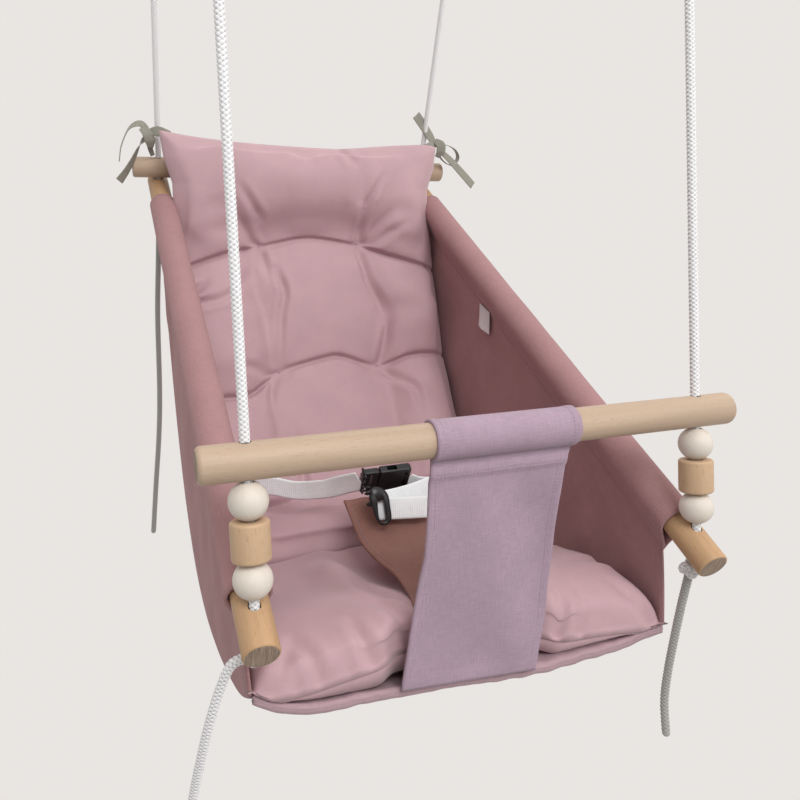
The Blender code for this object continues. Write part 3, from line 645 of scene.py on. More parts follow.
def bake_modifiers(made, cutters):
    """Replace a piece's mesh by what its modifiers make of it, and remove the cutters."""
    bpy.context.view_layer.update()
    shaped = bpy.data.meshes.new_from_object(made.evaluated_get(bpy.context.evaluated_depsgraph_get()))
    made.modifiers.clear()
    made.data = shaped
    for cutter in cutters:
        bpy.data.objects.remove(cutter, do_unlink=True)
    shaped.shade_smooth()
    shaped.set_sharp_from_angle(angle=math.radians(38))


def dowel(node, centre, along, length, edge, holes, surface):
    mesh = lathe(f"{node}_wood", rounded_dowel(length, edge), 96)
    mesh.materials.append(surface)
    mesh.materials.append(BEECH_END)
    made = link(f"{node}_wood", mesh, None, matrix=turned_to(centre, along))
    bake_modifiers(made, [drill(made, h) for h in holes])
    for face in made.data.polygons:
        at_end = abs(face.center.z) > length / 2 - edge * 0.15
        face.material_index = 1 if abs(face.normal.z) > 0.97 and at_end else 0
    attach(made, "seat")
    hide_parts(node)


def woodwork():
    """The two bars and the two side rods, each drilled for its ropes."""
    for node, end, edge in (("front_bar", "front", 0.0034), ("back_bar", "rear", 0.0022)):
        reach = 2.2 * DOWEL_R
        holes = [(rope_at(s, end, -reach), rope_at(s, end, reach)) for s in SIDES.values()]
        dowel(node, BARS[end][0], (1, 0, 0), BAR_LENGTH, edge, holes, BEECH)
    for name, side in SIDES.items():
        holes = []
        for end in BARS:
            top, down, out = hole(side, end)
            holes.append((top - down * 0.006, out + down * 0.006))
        centre = (ROD_REAR + ROD_FRONT) / 2 + Vector((side * ROPE_X, 0.0, 0.0))
        dowel(f"side_rod_{name}", centre, ROD_ALONG, ROD_LENGTH, 0.0016, holes, BEECH_SIDE)


def bead(node, surface, slot):
    """A turned bead on the taut front rope, in place of a CAD one."""
    if "middle" in node:
        half, edge = CYLINDER_BEAD_LENGTH / 2, 0.0018
        turns = [math.pi / 2 * k / 5 for k in range(6)]
        low = [(BEAD_R - edge + edge * math.sin(a), -half + edge - edge * math.cos(a)) for a in turns]
        outer = [(BEAD_HOLE_R + 0.0006, -half), (BEAD_R - edge - 0.002, -half), *low]
        inner = [(BEAD_HOLE_R, half - 0.0006), (BEAD_HOLE_R, 0.0), (BEAD_HOLE_R, -half + 0.0006)]
        profile = outer + [(r, -z) for r, z in reversed(outer)] + inner
    else:
        limit = math.acos((BEAD_HOLE_R + 0.0005) / BEAD_R)
        arc = [(BEAD_R * math.cos(a), BEAD_R * math.sin(a)) for a in np.linspace(-limit, limit, 33)]
        top = arc[-1][1] - 0.0005
        profile = arc + [(BEAD_HOLE_R, top), (BEAD_HOLE_R, 0.0), (BEAD_HOLE_R, -top)]
    mesh = lathe(f"{node}_wood", profile, 64)
    mesh.set_sharp_from_angle(angle=math.radians(50))
    link(f"{node}_wood", mesh, surface, node, slot, [node], turned_to(middle(node), FRONT_UP))


def beads():
    for side in SIDES:
        bead(f"bead_top_{side}", PALE_WOOD, "pale_wood")
        bead(f"bead_middle_{side}", BEECH_TURNED, "beech")
        bead(f"bead_bottom_{side}", PALE_WOOD, "pale_wood")


def repaint(node, surface):
    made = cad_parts[node]
    made.data.materials.clear()
    made.data.materials.append(surface)


def ceiling_hardware():
    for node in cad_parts:
        if node.startswith("ceiling_"):
            repaint(node, STEEL)


# ---------------------------------------------------------------- canvas

SLEEVE_START, SLEEVE_END = 0.0235, 0.048  # from the rod's rope holes
SLEEVE_R = 0.0141
TUNNEL_ROWS = 40
SEAM_DROP = 0.0255  # of the sleeve's seam below the rod's centre
HEM_DEPTH = 0.0065
HEM_LINE = [  # the lower edge of the front hem: (x, z) from the front bar
    (-0.170, -0.1730), (-0.156, -0.1830), (-0.133, -0.1915), (-0.110, -0.1935), (-0.062, -0.1950),
    (0.000, -0.1990), (0.049, -0.2030), (0.090, -0.2010), (0.125, -0.1985), (0.145, -0.1940),
    (0.170, -0.1915)]


def curve(x, table):
    """A smooth curve through the rows of a small table, read at x."""
    fine = smooth_line(table, 0.001)
    return np.interp(x, fine[:, 0], fine[:, 1])


def lift(x, y):
    """How far the strip under the child stands off its straight line near its front edge."""
    return (curve(x, HEM_LINE) + HEM_DEPTH - SEAT_LINE[0][1]) * np.exp(-np.clip(y, 0, 1) / 0.035)


def sag(x, y):
    return 0.0030 * np.sin(math.pi * np.clip(y / 0.45, 0, 1)) * (1 - (x / 0.170) ** 2)


def strip_height(x, y):
    """The upper face of the strip under the child, as z from the front bar."""
    return curve(y, SEAT_LINE[:6]) + lift(x, y) - sag(x, y) + CANVAS_THICKNESS


def sleeve_section():
    """The outline of a side's sleeve round its rod, as (outward, upward) from the rod's centre."""
    section = [(-0.0012, -SEAM_DROP - 0.004), (-0.0012, -SEAM_DROP)]
    section += [(SLEEVE_R * math.cos(a), SLEEVE_R * math.sin(a))
                for a in np.radians(np.linspace(213, -33, 34))]
    return smooth_line(section + [(0.0070, -0.0165), (0.0028, -0.0245), (0.0010, -0.0330)], 0.0022)


def side_canvas(name, side):
    """One side: a loose sleeve over the rod whose outer side runs on down to the seat."""
    along = np.linspace(0, 1, 130)
    length = (ROD_REAR - ROD_FRONT).length - SLEEVE_START - SLEEVE_END
    low = smooth_line(SEAT_LINE[:-2], 0.004)
    low = resampled(low, length_of(low) / (len(along) - 1))
    section = sleeve_section()
    down = np.linspace(0, 1, 75)[1:]
    points = np.zeros((len(along), len(section) + len(down), 3))
    for i, t in enumerate(along):
        centre = np.array(ROD_FRONT + ROD_ALONG * (SLEEVE_START + t * length)) + (side * ROPE_X, 0, 0)
        flare = 1 + 0.05 * math.exp(-t * 14) + 0.03 * wrinkle((t * 9, side * 3.0))
        for j, (p, q) in enumerate(section):
            points[i, j] = centre + np.array((side * p * flare, 0, 0)) + np.array(ROD_UP) * q * flare
        base = points[i, len(section) - 1].copy()
        foot = np.array(at(side * ROPE_X, *low[i]))
        foot[2] += float(lift(side * 0.168, low[i, 0]))
        for j, d in enumerate(down):
            place = base * (1 - d) + foot * d
            hang = math.sin(math.pi * d) * math.sin(math.pi * min(1, t * 1.15 + 0.02)) ** 0.7
            fold = wrinkle((t * 8.0 + d * 1.2, d * 1.3, side * 5.0)) * 0.0048
            fold += wrinkle((t * 19.0 - d * 2.0, d * 2.0, side * 9.0)) * 0.0018
            place[0] += side * (0.0040 * hang) + fold * min(1, 4 * d) * min(1, 6 * (1 - d)) * min(1, t * 9)
            points[i, len(section) + j] = place
    hem = np.full(points.shape[:2], 0.62)
    hem[:3, :] = 1.0
    made = cloth_sheet(f"sling_side_{name}_canvas", points, CANVAS, 0.0022, hem, body="seat", slot="canvas",
                       replaces=[f"sling_side_{name}"])
    inward = np.array((-side, 0, 0))
    rows = [facing(points[3:-2, 0] + np.array(ROD_UP) * 0.0042 + inward * 0.0011, inward),
            facing(points[3, 8:, :] + inward * 0.0009, inward),
            facing(points[3, len(section):, :] - inward * 0.0009, -inward)]
    stitches(f"sling_side_{name}_stitches", rows, PINK_THREAD, "seat", "canvas")


def strip_line():
    """The strip's section from its folded front hem to its tunnel, as (y, z) from the front bar."""
    bar = (BACK_BAR.y - FRONT_BAR.y, BACK_BAR.z - FRONT_BAR.z)
    line = smooth_line(SEAT_LINE[:-1], 0.004)
    turns = np.radians(np.linspace(-8, 318, TUNNEL_ROWS))
    tunnel = np.stack([bar[0] + TUNNEL_R * np.cos(turns), bar[1] + TUNNEL_R * np.sin(turns)], 1)
    start = SEAT_LINE[0][1]
    hem_rows = [(0.0045, start - 0.0064), (0.0012, start - 0.0071), (-0.0012, start - 0.0056),
                (-0.0012, start - 0.0022)]
    rise = resampled(np.concatenate([line[-1:], tunnel[:1]]), 0.004)[:-1]
    return np.concatenate([hem_rows, line[:-1], rise, tunnel])


def seat_canvas():
    """The strip under the child, from the folded front hem to the tunnel round the back bar."""
    line = strip_line()
    columns = np.linspace(-1, 1, 110)
    half = np.interp(line[:, 1] + (np.arange(len(line)) > len(line) - TUNNEL_ROWS - 8),
                     [0.03, 0.10, 0.16, 1.0], [0.1683, 0.156, 0.136, 0.125])
    points = np.zeros((len(line), len(columns), 3))
    loose = np.arange(len(line)) < len(line) - TUNNEL_ROWS
    for i, (y, z) in enumerate(line):
        x = half[i] * columns
        near = np.full_like(x, 0.0 if i < 5 else y)
        wave = np.array([wrinkle((v * 90, near[0] * 40, 6.0)) * 0.0011 for v in x])
        fold = np.array([wrinkle((v * 19.0, i * 0.05, 2.0)) * 0.0018 for v in x])
        height = z + (lift(x, near) + wave + fold - sag(x, near)) * loose[i]
        points[i] = np.stack([x, np.full_like(x, y), height], 1)
    points += np.array(FRONT_BAR)
    hem = np.full(points.shape[:2], 0.5)
    hem[:5] = 0.75
    made = cloth_sheet("sling_back_and_seat_canvas", points, STRIP_CANVAS, 0.0028, hem, body="seat",
                       slot="canvas", replaces=["sling_back_and_seat"])
    rows = []
    for column in (2, len(columns) - 3):
        edge = points[4 : len(line) - TUNNEL_ROWS - 4, column]
        out = np.cross(np.gradient(edge, axis=0), (1.0, 0.0, 0.0))
        out = unit(out * np.sign(-out[:, 2:3] + out[:, 1:2] + 1e-9))
        rows.append((edge + out * 0.0009, out))
    rows.append(facing(points[3] + np.array((0, -0.0013, 0.0008)), (0, -1.0, 0)))
    stitches("sling_back_and_seat_stitches", rows, PINK_THREAD, "seat", "canvas")


def crotch_panel():
    """The canvas that hangs from the front bar in front of the child and is sewn to the front hem."""
    drop = np.linspace(-0.1935, -0.0180, 62)
    turns = np.radians(np.linspace(252, -70, 52))
    wrap = np.stack([TUNNEL_R * np.cos(turns), TUNNEL_R * np.sin(turns)], 1)
    y = np.concatenate([np.interp(drop, [-0.2, -0.03, -0.018], [-0.0050, -0.0045, -0.0055]), wrap[:, 0]])
    z = np.concatenate([drop, wrap[:, 1]])
    left = np.interp(z, [-0.186, -0.146, -0.115, -0.085, -0.040, -0.0195, -0.014, -0.002],
                     [-0.0632, -0.0587, -0.0541, -0.0506, -0.0500, -0.0497, -0.0490, -0.0486])
    right = np.interp(z, [-0.193, -0.152, -0.102, -0.054, -0.0195, -0.012, -0.002],
                      [0.0464, 0.0519, 0.0528, 0.0535, 0.0552, 0.0590, 0.0604])
    columns = np.linspace(0, 1, 60)
    points = np.zeros((len(z), len(columns), 3))
    for i in range(len(z)):
        x = left[i] + (right[i] - left[i]) * columns
        flat = i < len(drop)
        loose = min(1.0, (-0.026 - z[i]) / 0.03 if z[i] < -0.026 else 0) * min(1.0, i / 8) * flat
        pull = [wrinkle((c * 2.4 + z[i] * 8.0, z[i] * 4.0, 4.0)) * 0.0060
                + wrinkle((c * 5.0 - z[i] * 22.0, z[i] * 9.0, 1.0)) * 0.0022 for c in columns]
        low = np.clip((-0.018 - z[i]) / 0.176, 0, 1) ** 4 * flat
        tilt = (0.0068 * (1 - columns) - 0.0010 * columns) * low
        points[i] = np.stack([x, y[i] + np.array(pull) * loose, z[i] + tilt], 1)
    band = (z < -0.0185) & (z > -0.0262) & (np.arange(len(z)) < len(drop))
    points[band, :, 1] -= 0.0009
    points += np.array(FRONT_BAR)
    hem = np.full(points.shape[:2], 0.50)
    hem[:, :3] = 0.85
    hem[:, -3:] = 0.85
    hem[band] = 1.0
    hem[:4] = 0.9
    made = cloth_sheet("crotch_panel_canvas", points, PANEL_CANVAS, 0.0026, hem, body="seat", slot="canvas",
                       replaces=["crotch_panel"])
    out = np.array((0.0, -1.0, 0.0))
    rows = []
    for column in (3, len(columns) - 4):
        rows.append(facing(points[3 : len(drop) - 3, column] + out * 0.0009, out))
    for height, proud in ((-0.0200, 0.0014), (-0.0250, 0.0014), (-0.1880, 0.0009)):
        i = int(np.argmin(np.abs(drop - height)))
        rows.append(facing(points[i, 1:-1] + out * proud, out))
    for column in (3, len(columns) - 4):
        ring = points[len(drop) + 4 : -4, column]
        centre = np.array(FRONT_BAR) * (0, 1, 1) + ring * (1, 0, 0)
        normal = (ring - centre) / TUNNEL_R
        rows.append((ring + normal * 0.0009, normal))
    stitches("crotch_panel_stitches", rows, THREAD, "seat", "canvas", pitch=0.0027, length=0.0020)


def crotch_strap():
    """The flap that comes up between the legs, over the seat cushion, to the waist belt."""
    centre = smooth_line([
        (0.0050, 0.2030, -0.1385), (0.0080, 0.1900, -0.1500), (0.0085, 0.1750, -0.1560),
        (0.0070, 0.1400, -0.1545), (0.0090, 0.0850, -0.1440), (0.0070, 0.0450, -0.1425),
        (0.0000, 0.0200, -0.1430), (-0.0030, 0.0075, -0.1560), (-0.0010, 0.0035, -0.1820)], 0.004)
    columns = np.linspace(-1, 1, 40)
    points = np.zeros((len(centre), len(columns), 3))
    for i, (x, y, z) in enumerate(centre):
        share = i / (len(centre) - 1)
        droop = 0.0060 * math.sin(math.pi * min(1, share * 1.25)) if share < 0.8 else 0.0
        edge = np.abs(columns) ** 2.5
        curl = np.array([wrinkle((c * 2.0, share * 5.0, 7.0)) * 0.0030 for c in columns])
        points[i] = np.stack([x + 0.0455 * columns, np.full_like(columns, y), z - droop * edge + curl], 1)
    points += np.array(FRONT_BAR)
    hem = np.full(points.shape[:2], 0.6)
    hem[:, :2] = 1.0
    hem[:, -2:] = 1.0
    hem[:3] = 1.0
    # Its cloth is the darker copy of the canvas: painted shade.
    made = cloth_sheet("crotch_strap_canvas", points, SHADED_FLAP_CANVAS, 0.0026, hem, body="seat", slot="canvas",
                       replaces=["crotch_strap"])
    rows = []
    for column in (2, len(columns) - 3):
        edge = points[2:-4, column]
        out = np.cross((1.0, 0.0, 0.0), np.gradient(edge, axis=0))
        out = unit(out * np.sign(out[:, 2:3] - 0.2 * out[:, 1:2] + 1e-9))
        rows.append((edge + out * 0.0014, out))
    stitches("crotch_strap_stitches", rows, PINK_THREAD, "seat", "canvas")


# ---------------------------------------------------------------- cushions

BACK_LINE = [
    (0.226, -0.2120), (0.300, -0.2010), (0.360, -0.1660), (0.410, -0.1100), (0.452, -0.0370),
    (0.482, 0.0400), (0.493, 0.1000), (0.4975, 0.1500), (0.5015, 0.1950)]
SEAT_CUSHION_LINE = [
    (-0.003, -0.1775), (0.020, -0.1700), (0.055, -0.1765), (0.110, -0.1985), (0.165, -0.2130),
    (0.226, -0.2190)]
CUT_WIDTH = 0.362  # of both cushions' cloth
BACK_HALF = 0.1665
SEAT_HALF = 0.1655
SEAM_INSET = 0.0026  # the seat cushion's front seam lies this far behind its two lips
SEAM_LIP = 0.0011  # half the distance between them
TOP_EDGE = [  # the back cushion's upper edge: (x, height over its line)
    (-0.172, 0.006), (-0.125, -0.001), (-0.067, -0.006), (0.0, -0.009), (0.045, -0.0095),
    (0.098, -0.005), (0.152, -0.002), (0.172, -0.006)]
FRONT_SEAM = [  # the seat cushion's front seam: (x, z) from the front bar
    (-0.173, -0.1745), (-0.136, -0.1760), (-0.093, -0.1700), (-0.056, -0.1665), (0.000, -0.1720),
    (0.054, -0.1780), (0.108, -0.1810), (0.150, -0.1860), (0.173, -0.1910)]
TUFTS = [  # where thread draws the back cushion's two sides together: (x, distance below its top edge)
    (-0.061, 0.125), (0.065, 0.125), (-0.0505, 0.282), (0.075, 0.282), (-0.047, 0.440), (0.079, 0.440)]
VALLEYS = [  # folds through the tufts, from side to side, as lines of the same two measures
    [(-0.180, 0.164), (-0.153, 0.151), (-0.101, 0.132), (-0.061, 0.125), (0.000, 0.114), (0.065, 0.125),
     (0.104, 0.139), (0.148, 0.154), (0.180, 0.163)],
    [(-0.180, 0.316), (-0.126, 0.312), (-0.090, 0.308), (-0.0505, 0.282), (0.005, 0.268), (0.030, 0.267),
     (0.075, 0.282), (0.123, 0.273), (0.180, 0.275)],
    [(-0.180, 0.464), (-0.100, 0.456), (-0.047, 0.440), (0.016, 0.429), (0.079, 0.440), (0.180, 0.458)]]
CREASES = [  # pulls in the back cushion's cloth: (tuft, depth, width, route from the tuft)
    (0, 0.0052, 0.0042, [(0.000, 0.000), (-0.013, -0.014), (-0.027, -0.030), (-0.040, -0.048)]),
    (0, 0.0040, 0.0045, [(-0.003, -0.034), (-0.016, -0.054), (-0.032, -0.080)]),
    (1, 0.0056, 0.0040, [(0.002, -0.006), (0.008, -0.048), (0.018, -0.070), (0.031, -0.095)]),
    (1, 0.0042, 0.0085, [(0.003, -0.048), (0.001, -0.080), (-0.001, -0.113)]),
    (1, 0.0036, 0.0042, [(0.002, -0.003), (0.020, -0.018), (0.044, -0.045)]),
    (1, 0.0030, 0.0042, [(0.008, -0.004), (0.035, -0.013), (0.070, -0.030)]),
    (0, 0.0044, 0.0042, [(0.000, 0.003), (0.005, 0.025), (0.012, 0.053)]),
    (0, 0.0048, 0.0042, [(0.016, 0.028), (0.025, 0.059), (0.0195, 0.085), (0.0150, 0.120), (0.0110, 0.155)]),
    (1, 0.0040, 0.0042, [(0.001, 0.004), (0.008, 0.045), (0.022, 0.080), (0.024, 0.108)]),
    (3, 0.0048, 0.0042, [(0.002, -0.005), (0.014, -0.033), (0.024, -0.074)]),
    (3, 0.0050, 0.0045, [(0.003, 0.004), (0.024, 0.025), (0.038, 0.044), (0.038, 0.080)]),
    (2, 0.0040, 0.0045, [(-0.003, 0.004), (-0.015, 0.030), (-0.020, 0.070)]),
    (2, 0.0036, 0.0042, [(-0.004, -0.002), (-0.030, -0.004), (-0.060, -0.006)]),
    (0, 0.0095, 0.0050, [(-0.112, 0.066), (-0.090, 0.060), (-0.064, 0.043)]),
    (0, 0.0040, 0.0045, [(-0.104, 0.074), (-0.060, 0.070), (-0.030, 0.052), (-0.015, 0.030)]),
    (4, 0.0045, 0.0045, [(0.000, -0.004), (0.004, -0.040), (0.002, -0.090)]),
    (5, 0.0045, 0.0045, [(0.000, -0.004), (0.006, -0.040), (0.004, -0.080)])]
SEAT_CREASES = [  # pulls in the seat cushion's cloth: (depth, width, route of (x, distance from its front))
    (0.0050, 0.0048, [(-0.050, 0.002), (-0.062, 0.030), (-0.078, 0.062)]),
    (0.0040, 0.0042, [(-0.080, 0.001), (-0.090, 0.018), (-0.094, 0.036)]),
    (0.0030, 0.0042, [(-0.120, 0.001), (-0.126, 0.016), (-0.140, 0.036)]),
    (0.0060, 0.0040, [(0.068, 0.001), (0.071, 0.010), (0.080, 0.024)]),
    (0.0034, 0.0042, [(0.086, 0.001), (0.094, 0.016), (0.098, 0.030)]),
    (0.0040, 0.0048, [(0.163, 0.001), (0.148, 0.014), (0.126, 0.034)]),
    (0.0030, 0.0048, [(-0.163, 0.001), (-0.148, 0.014), (-0.130, 0.036)]),
    (0.0050, 0.0065, [(-0.054, 0.040), (-0.060, 0.080), (-0.056, 0.125)]),
    (0.0030, 0.0060, [(0.163, 0.060), (0.140, 0.066), (0.112, 0.060)])]


CLOTH_SETTINGS = {
    "quality": 4, "mass": 0.15, "tension_stiffness": 25.0, "compression_stiffness": 8.0,
    "shear_stiffness": 4.0, "bending_stiffness": 0.05, "air_damping": 2.0, "use_pressure": True,
    "vertex_group_pressure": "lifted"}


def blown_up(made, pressure, tufted, frames=22):
    soft = made.modifiers.new("cloth", "CLOTH")
    for key, value in CLOTH_SETTINGS.items():
        setattr(soft.settings, key, value)
    soft.settings.uniform_pressure_force = pressure
    soft.settings.effector_weights.gravity = 0.0
    if tufted:
        soft.settings.vertex_group_mass = "held"
    soft.collision_settings.use_collision = False
    for number in range(1, frames + 1):
        bpy.context.scene.frame_set(number)
    evaluated = made.evaluated_get(bpy.context.evaluated_depsgraph_get())
    moved = np.zeros(len(made.data.vertices) * 3, np.float32)
    evaluated.data.vertices.foreach_get("co", moved)
    return moved.reshape(-1, 3).astype(float)


def pillow(name, width, length, tufts=(), valleys=(), pressure=4.0, cell=0.0064):
    """Two rectangles of cloth sewn together and blown up in a cloth simulation, lying flat on X and Y.

    Returns the points of its upper and lower sides as arrays (rows, columns, 3). A tuft (x, y) holds both
    sides together. A valley (y, depth, spread) is a row that the filling lifts less.
    """
    columns, rows = round(width / cell) + 1, round(length / cell) + 1
    gx, gy = np.meshgrid(np.linspace(-width / 2, width / 2, columns), np.linspace(0, length, rows))
    bulge = 0.0015 + 0.004 * np.sin(math.pi * (gx / width + 0.5)) * np.sin(math.pi * gy / length)
    top = np.stack([gx, gy, np.where(off_rim(gx.shape), bulge, 0)], 2)
    mesh, index, under = two_sided(f"{name}_simulated", top, top * (1, 1, -1))
    made = link(f"{name}_simulated", mesh, None)
    weight = np.ones(gx.shape)
    for row, depth, spread in valleys:
        weight = weight * (1 - depth * bell(gy, row, spread))
    lifted = made.vertex_groups.new(name="lifted")
    for grid in (index, under):
        for k, share in zip(grid.ravel(), weight.ravel()):
            lifted.add([int(k)], float(share), "REPLACE")
    held = made.vertex_groups.new(name="held")
    for tx, ty in tufts:
        spot = np.hypot(gx - tx, gy - ty) < cell * 0.75
        held.add([int(k) for k in np.concatenate([index[spot], under[spot]])], 1.0, "REPLACE")
    moved = blown_up(made, pressure, bool(tufts))
    bpy.data.objects.remove(made, do_unlink=True)
    bpy.context.scene.frame_set(1)
    return moved[index], moved[under]


def off_rim(shape):
    """True for all points of a grid but its rim."""
    mask = np.zeros(shape, bool)
    mask[1:-1, 1:-1] = True
    return mask


def two_sided(name, top, low):
    """A closed mesh of two grids of points that share their rims, with each grid's vertex numbers."""
    rows, columns = top.shape[:2]
    inner = off_rim((rows, columns))
    index = np.arange(rows * columns).reshape(rows, columns)
    under = index.copy()
    under[inner] = rows * columns + np.arange(inner.sum())
    quads = grid_faces(rows, columns)
    faces = np.concatenate([quads, under.ravel()[quads][:, ::-1]])
    return mesh_from(name, np.concatenate([top.reshape(-1, 3), low[inner]]), faces), index, under


def finer(grid, times):
    """A grid of points with more cells each way, on smooth curves through the old ones."""
    for axis in (0, 1):
        rows = np.moveaxis(grid, axis, 0)
        rows = np.concatenate([2 * rows[:1] - rows[1:2], rows, 2 * rows[-1:] - rows[-2:-1]])
        place = np.arange((len(rows) - 3) * times + 1) / times
        k = np.minimum(place.astype(int), len(rows) - 4)
        t = (place - k).reshape(-1, 1, 1)
        grid = np.moveaxis(catmull_rom(rows[k], rows[k + 1], rows[k + 2], rows[k + 3], t), 0, axis)
    return grid


def eased(grid, passes):
    """A grid of points with its smallest wrinkles smoothed away."""
    for _ in range(passes):
        wide = np.pad(grid, ((1, 1), (1, 1), (0, 0)), mode="edge")
        around = wide[:-2, 1:-1] + wide[2:, 1:-1] + wide[1:-1, :-2] + wide[1:-1, 2:]
        grid = 0.5 * grid + 0.125 * around
    return grid


def filled_out(grid, half_width, length, height, fullness, swell=0.0034, times=3):
    """A simulated side brought to size, with a rectangular rim and full, even edges. Returns x, y, z."""
    grid = finer(eased(grid, 4), times)
    x, y, z = grid[..., 0], grid[..., 1], np.abs(grid[..., 2])
    x = ((x - x[:, :1]) / (x[:, -1:] - x[:, :1]) * 2 - 1) * half_width
    y = (y - y[:1]) / (y[-1:] - y[:1]) * length
    z = height * (z / np.percentile(z, 96)) ** fullness
    rows, columns = x.shape
    even_x, even_y = np.meshgrid(np.linspace(-half_width, half_width, columns),
                                 np.linspace(0, length, rows))
    rim = np.minimum(half_width - np.abs(even_x), np.minimum(even_y, length - even_y))
    inward = np.clip((rim - 0.004) / 0.030, 0, 1)
    inward = inward * inward * (3 - 2 * inward)
    dome = height * np.sqrt(1 - (1 - np.clip(rim / 0.070, 0, 1)) ** 2)
    x, y, z = (even * (1 - inward) + own * inward for even, own in ((even_x, x), (even_y, y), (dome, z)))
    inside = rim > 1e-5
    y = y - swell * inside * (np.exp(-y / 0.010) - np.exp(-(length - y) / 0.010))
    x = x + swell * inside * np.sign(x) * np.exp(-(half_width - np.abs(x)) / 0.010)
    return x, y, np.where(inside, z, 0.0)


def crease(height, x, y, route, depth, width, fade=0.15):
    """Press a crease into a field of heights along a route of (x, y), with low ridges beside it."""
    line = smooth_line(route, 0.0025)
    nearest = np.full(x.shape, 9.0)
    share = np.zeros(x.shape)
    for k, (px, py) in enumerate(line):
        away = np.hypot(x - px, y - py)
        share = np.where(away < nearest, k / (len(line) - 1), share)
        nearest = np.minimum(away, nearest)
    strength = depth * np.interp(share, [0, fade, 0.6, 1], [0.4, 1.0, 0.75, 0.0])
    groove = np.exp(-((nearest / width) ** 2)) - 0.38 * bell(nearest, 2.1 * width, width)
    return height - strength * groove


def on_line(side, line):
    """Bend a side given as (x, distance along, height) onto a line of (y, z) from the front bar."""
    x, s, h = side
    fine = smooth_line(line, 0.001)
    along = distances(fine)
    direction = unit(np.gradient(fine, axis=0))
    inside = np.clip(s, 0, along[-1])
    beyond = s - inside
    y, z = (np.interp(inside, along, fine[:, k]) for k in (0, 1))
    dy, dz = (np.interp(inside, along, direction[:, k]) for k in (0, 1))
    return np.stack([x, y + beyond * dy - dz * h, z + beyond * dz + dy * h], 2) + np.array(FRONT_BAR)


def cushion_piece(name, top, low, line, node):
    """A cushion from its two sides, each given as (x, distance along, height), bent onto a line."""
    flat = np.stack([top[0], top[1]], 2)
    mesh, index, under = two_sided(name, on_line(top, line), on_line(low, line))
    uv = np.zeros((len(mesh.vertices), 2))
    uv[under.ravel()] = flat.reshape(-1, 2) + 1.0
    uv[index.ravel()] = flat.reshape(-1, 2)
    add_uv(mesh, uv)
    return link(name, mesh, SATIN, "seat", "cushion", [node])


def back_side(x, s, height, length, front):
    """One side of the back cushion with its valleys, tufts and, in front, its creases: (x, s, height)."""
    inside = height > 0
    y = length - s
    for valley in VALLEYS:
        line = curve(x, valley)
        height = height * (1 - 0.46 * bell(y, line, 0.026))
        narrow = np.interp(np.abs(x), [0, 0.06, 0.15, 0.17], [0.8, 1, 0.7, 0.3])
        height = height - 0.0100 * bell(y, line, 0.0043) * narrow
        s = s - 0.0060 * bell(y, line - 0.013, 0.010) * front
    for tx, ty in TUFTS:
        height = height * (1 - 0.90 * np.exp(-((x - tx) ** 2 + (y - ty) ** 2) / 0.0150**2))
    if front:
        for tuft, depth, width, route in CREASES:
            tx, ty = TUFTS[tuft]
            height = crease(height, x, y, [(tx + a, ty + b) for a, b in route], depth, width)
        height = crease(height, x, y, [(0.040, 0.0), (0.048, 0.012), (0.058, 0.026)], 0.0045, 0.0045)
    height = np.where(inside, np.maximum(height, 0.0004), 0.0)
    share = s / length
    taper = np.interp(share, [0, 0.70, 0.88, 1.0], [0.95, 1.0, 0.92, 0.80])
    half = np.interp(share, [0, 0.25, 0.45, 0.72, 0.78, 0.84, 0.90, 0.95, 1.0],
                     [0.94, 0.98, 0.995, 0.995, 0.980, 0.955, 0.955, 1.005, 1.025])
    rise = curve(x, TOP_EDGE)
    return x * half, s + rise * share**6, height * taper * (1 if front else -1)


def back_cushion():
    """The tufted cushion against the sling's back."""
    length = length_of(smooth_line(BACK_LINE, 0.001))
    cut_length = length + 0.040
    tufts = [(x * 1.05, (length - y) * cut_length / length) for x, y in TUFTS]
    valleys = [(y, 0.6, 0.014) for y in sorted({round(y, 4) for _, y in tufts})]
    sides = pillow("back_cushion", CUT_WIDTH, cut_length, tufts, valleys)
    shaped = []
    for front, grid in zip((True, False), sides):
        sized = filled_out(grid, BACK_HALF, length, 0.036, 0.62, 0.0034 if front else 0.0)
        shaped.append(back_side(*sized, length, front))
    made = cushion_piece("back_cushion_padding", *shaped, BACK_LINE, "back_cushion")
    tuft_threads(*shaped[0], length)


def tuft_threads(x, s, height, length):
    """The few turns of thread that show in the bottom of each tuft."""
    surface = on_line((x, s, height), BACK_LINE)
    sides = 16
    turns = np.linspace(0, 2 * math.pi, sides, endpoint=False)
    arc = np.linspace(-0.5 * math.pi, 0.5 * math.pi, 9)[1:-1]
    shape = [(0.0019 * math.cos(b) * math.cos(a), 0.0015 * math.cos(b) * math.sin(a), 0.0010 * math.sin(b))
             for b in arc for a in turns]
    points, faces = [], []
    for tx, ty in TUFTS:
        at_tuft = np.unravel_index(np.argmin(np.hypot(x - tx, length - s - ty)), x.shape)
        place = Matrix.Translation(Vector(surface[at_tuft])) @ Matrix.Rotation(math.radians(65), 4, "X")
        start = len(points)
        points += [place @ Vector(p) for p in shape]
        faces += [tuple(f + start) for f in grid_faces(len(arc), sides, wrap=True)]
        faces += [tuple(range(start, start + sides))[::-1], tuple(range(len(points) - sides, len(points)))]
    mesh = mesh_from("tuft_threads", points, faces)
    add_uv(mesh, np.array([(p.x, p.z) for p in points]))
    link("back_cushion_tuft_threads", mesh, PINK_THREAD, "seat", "cushion")


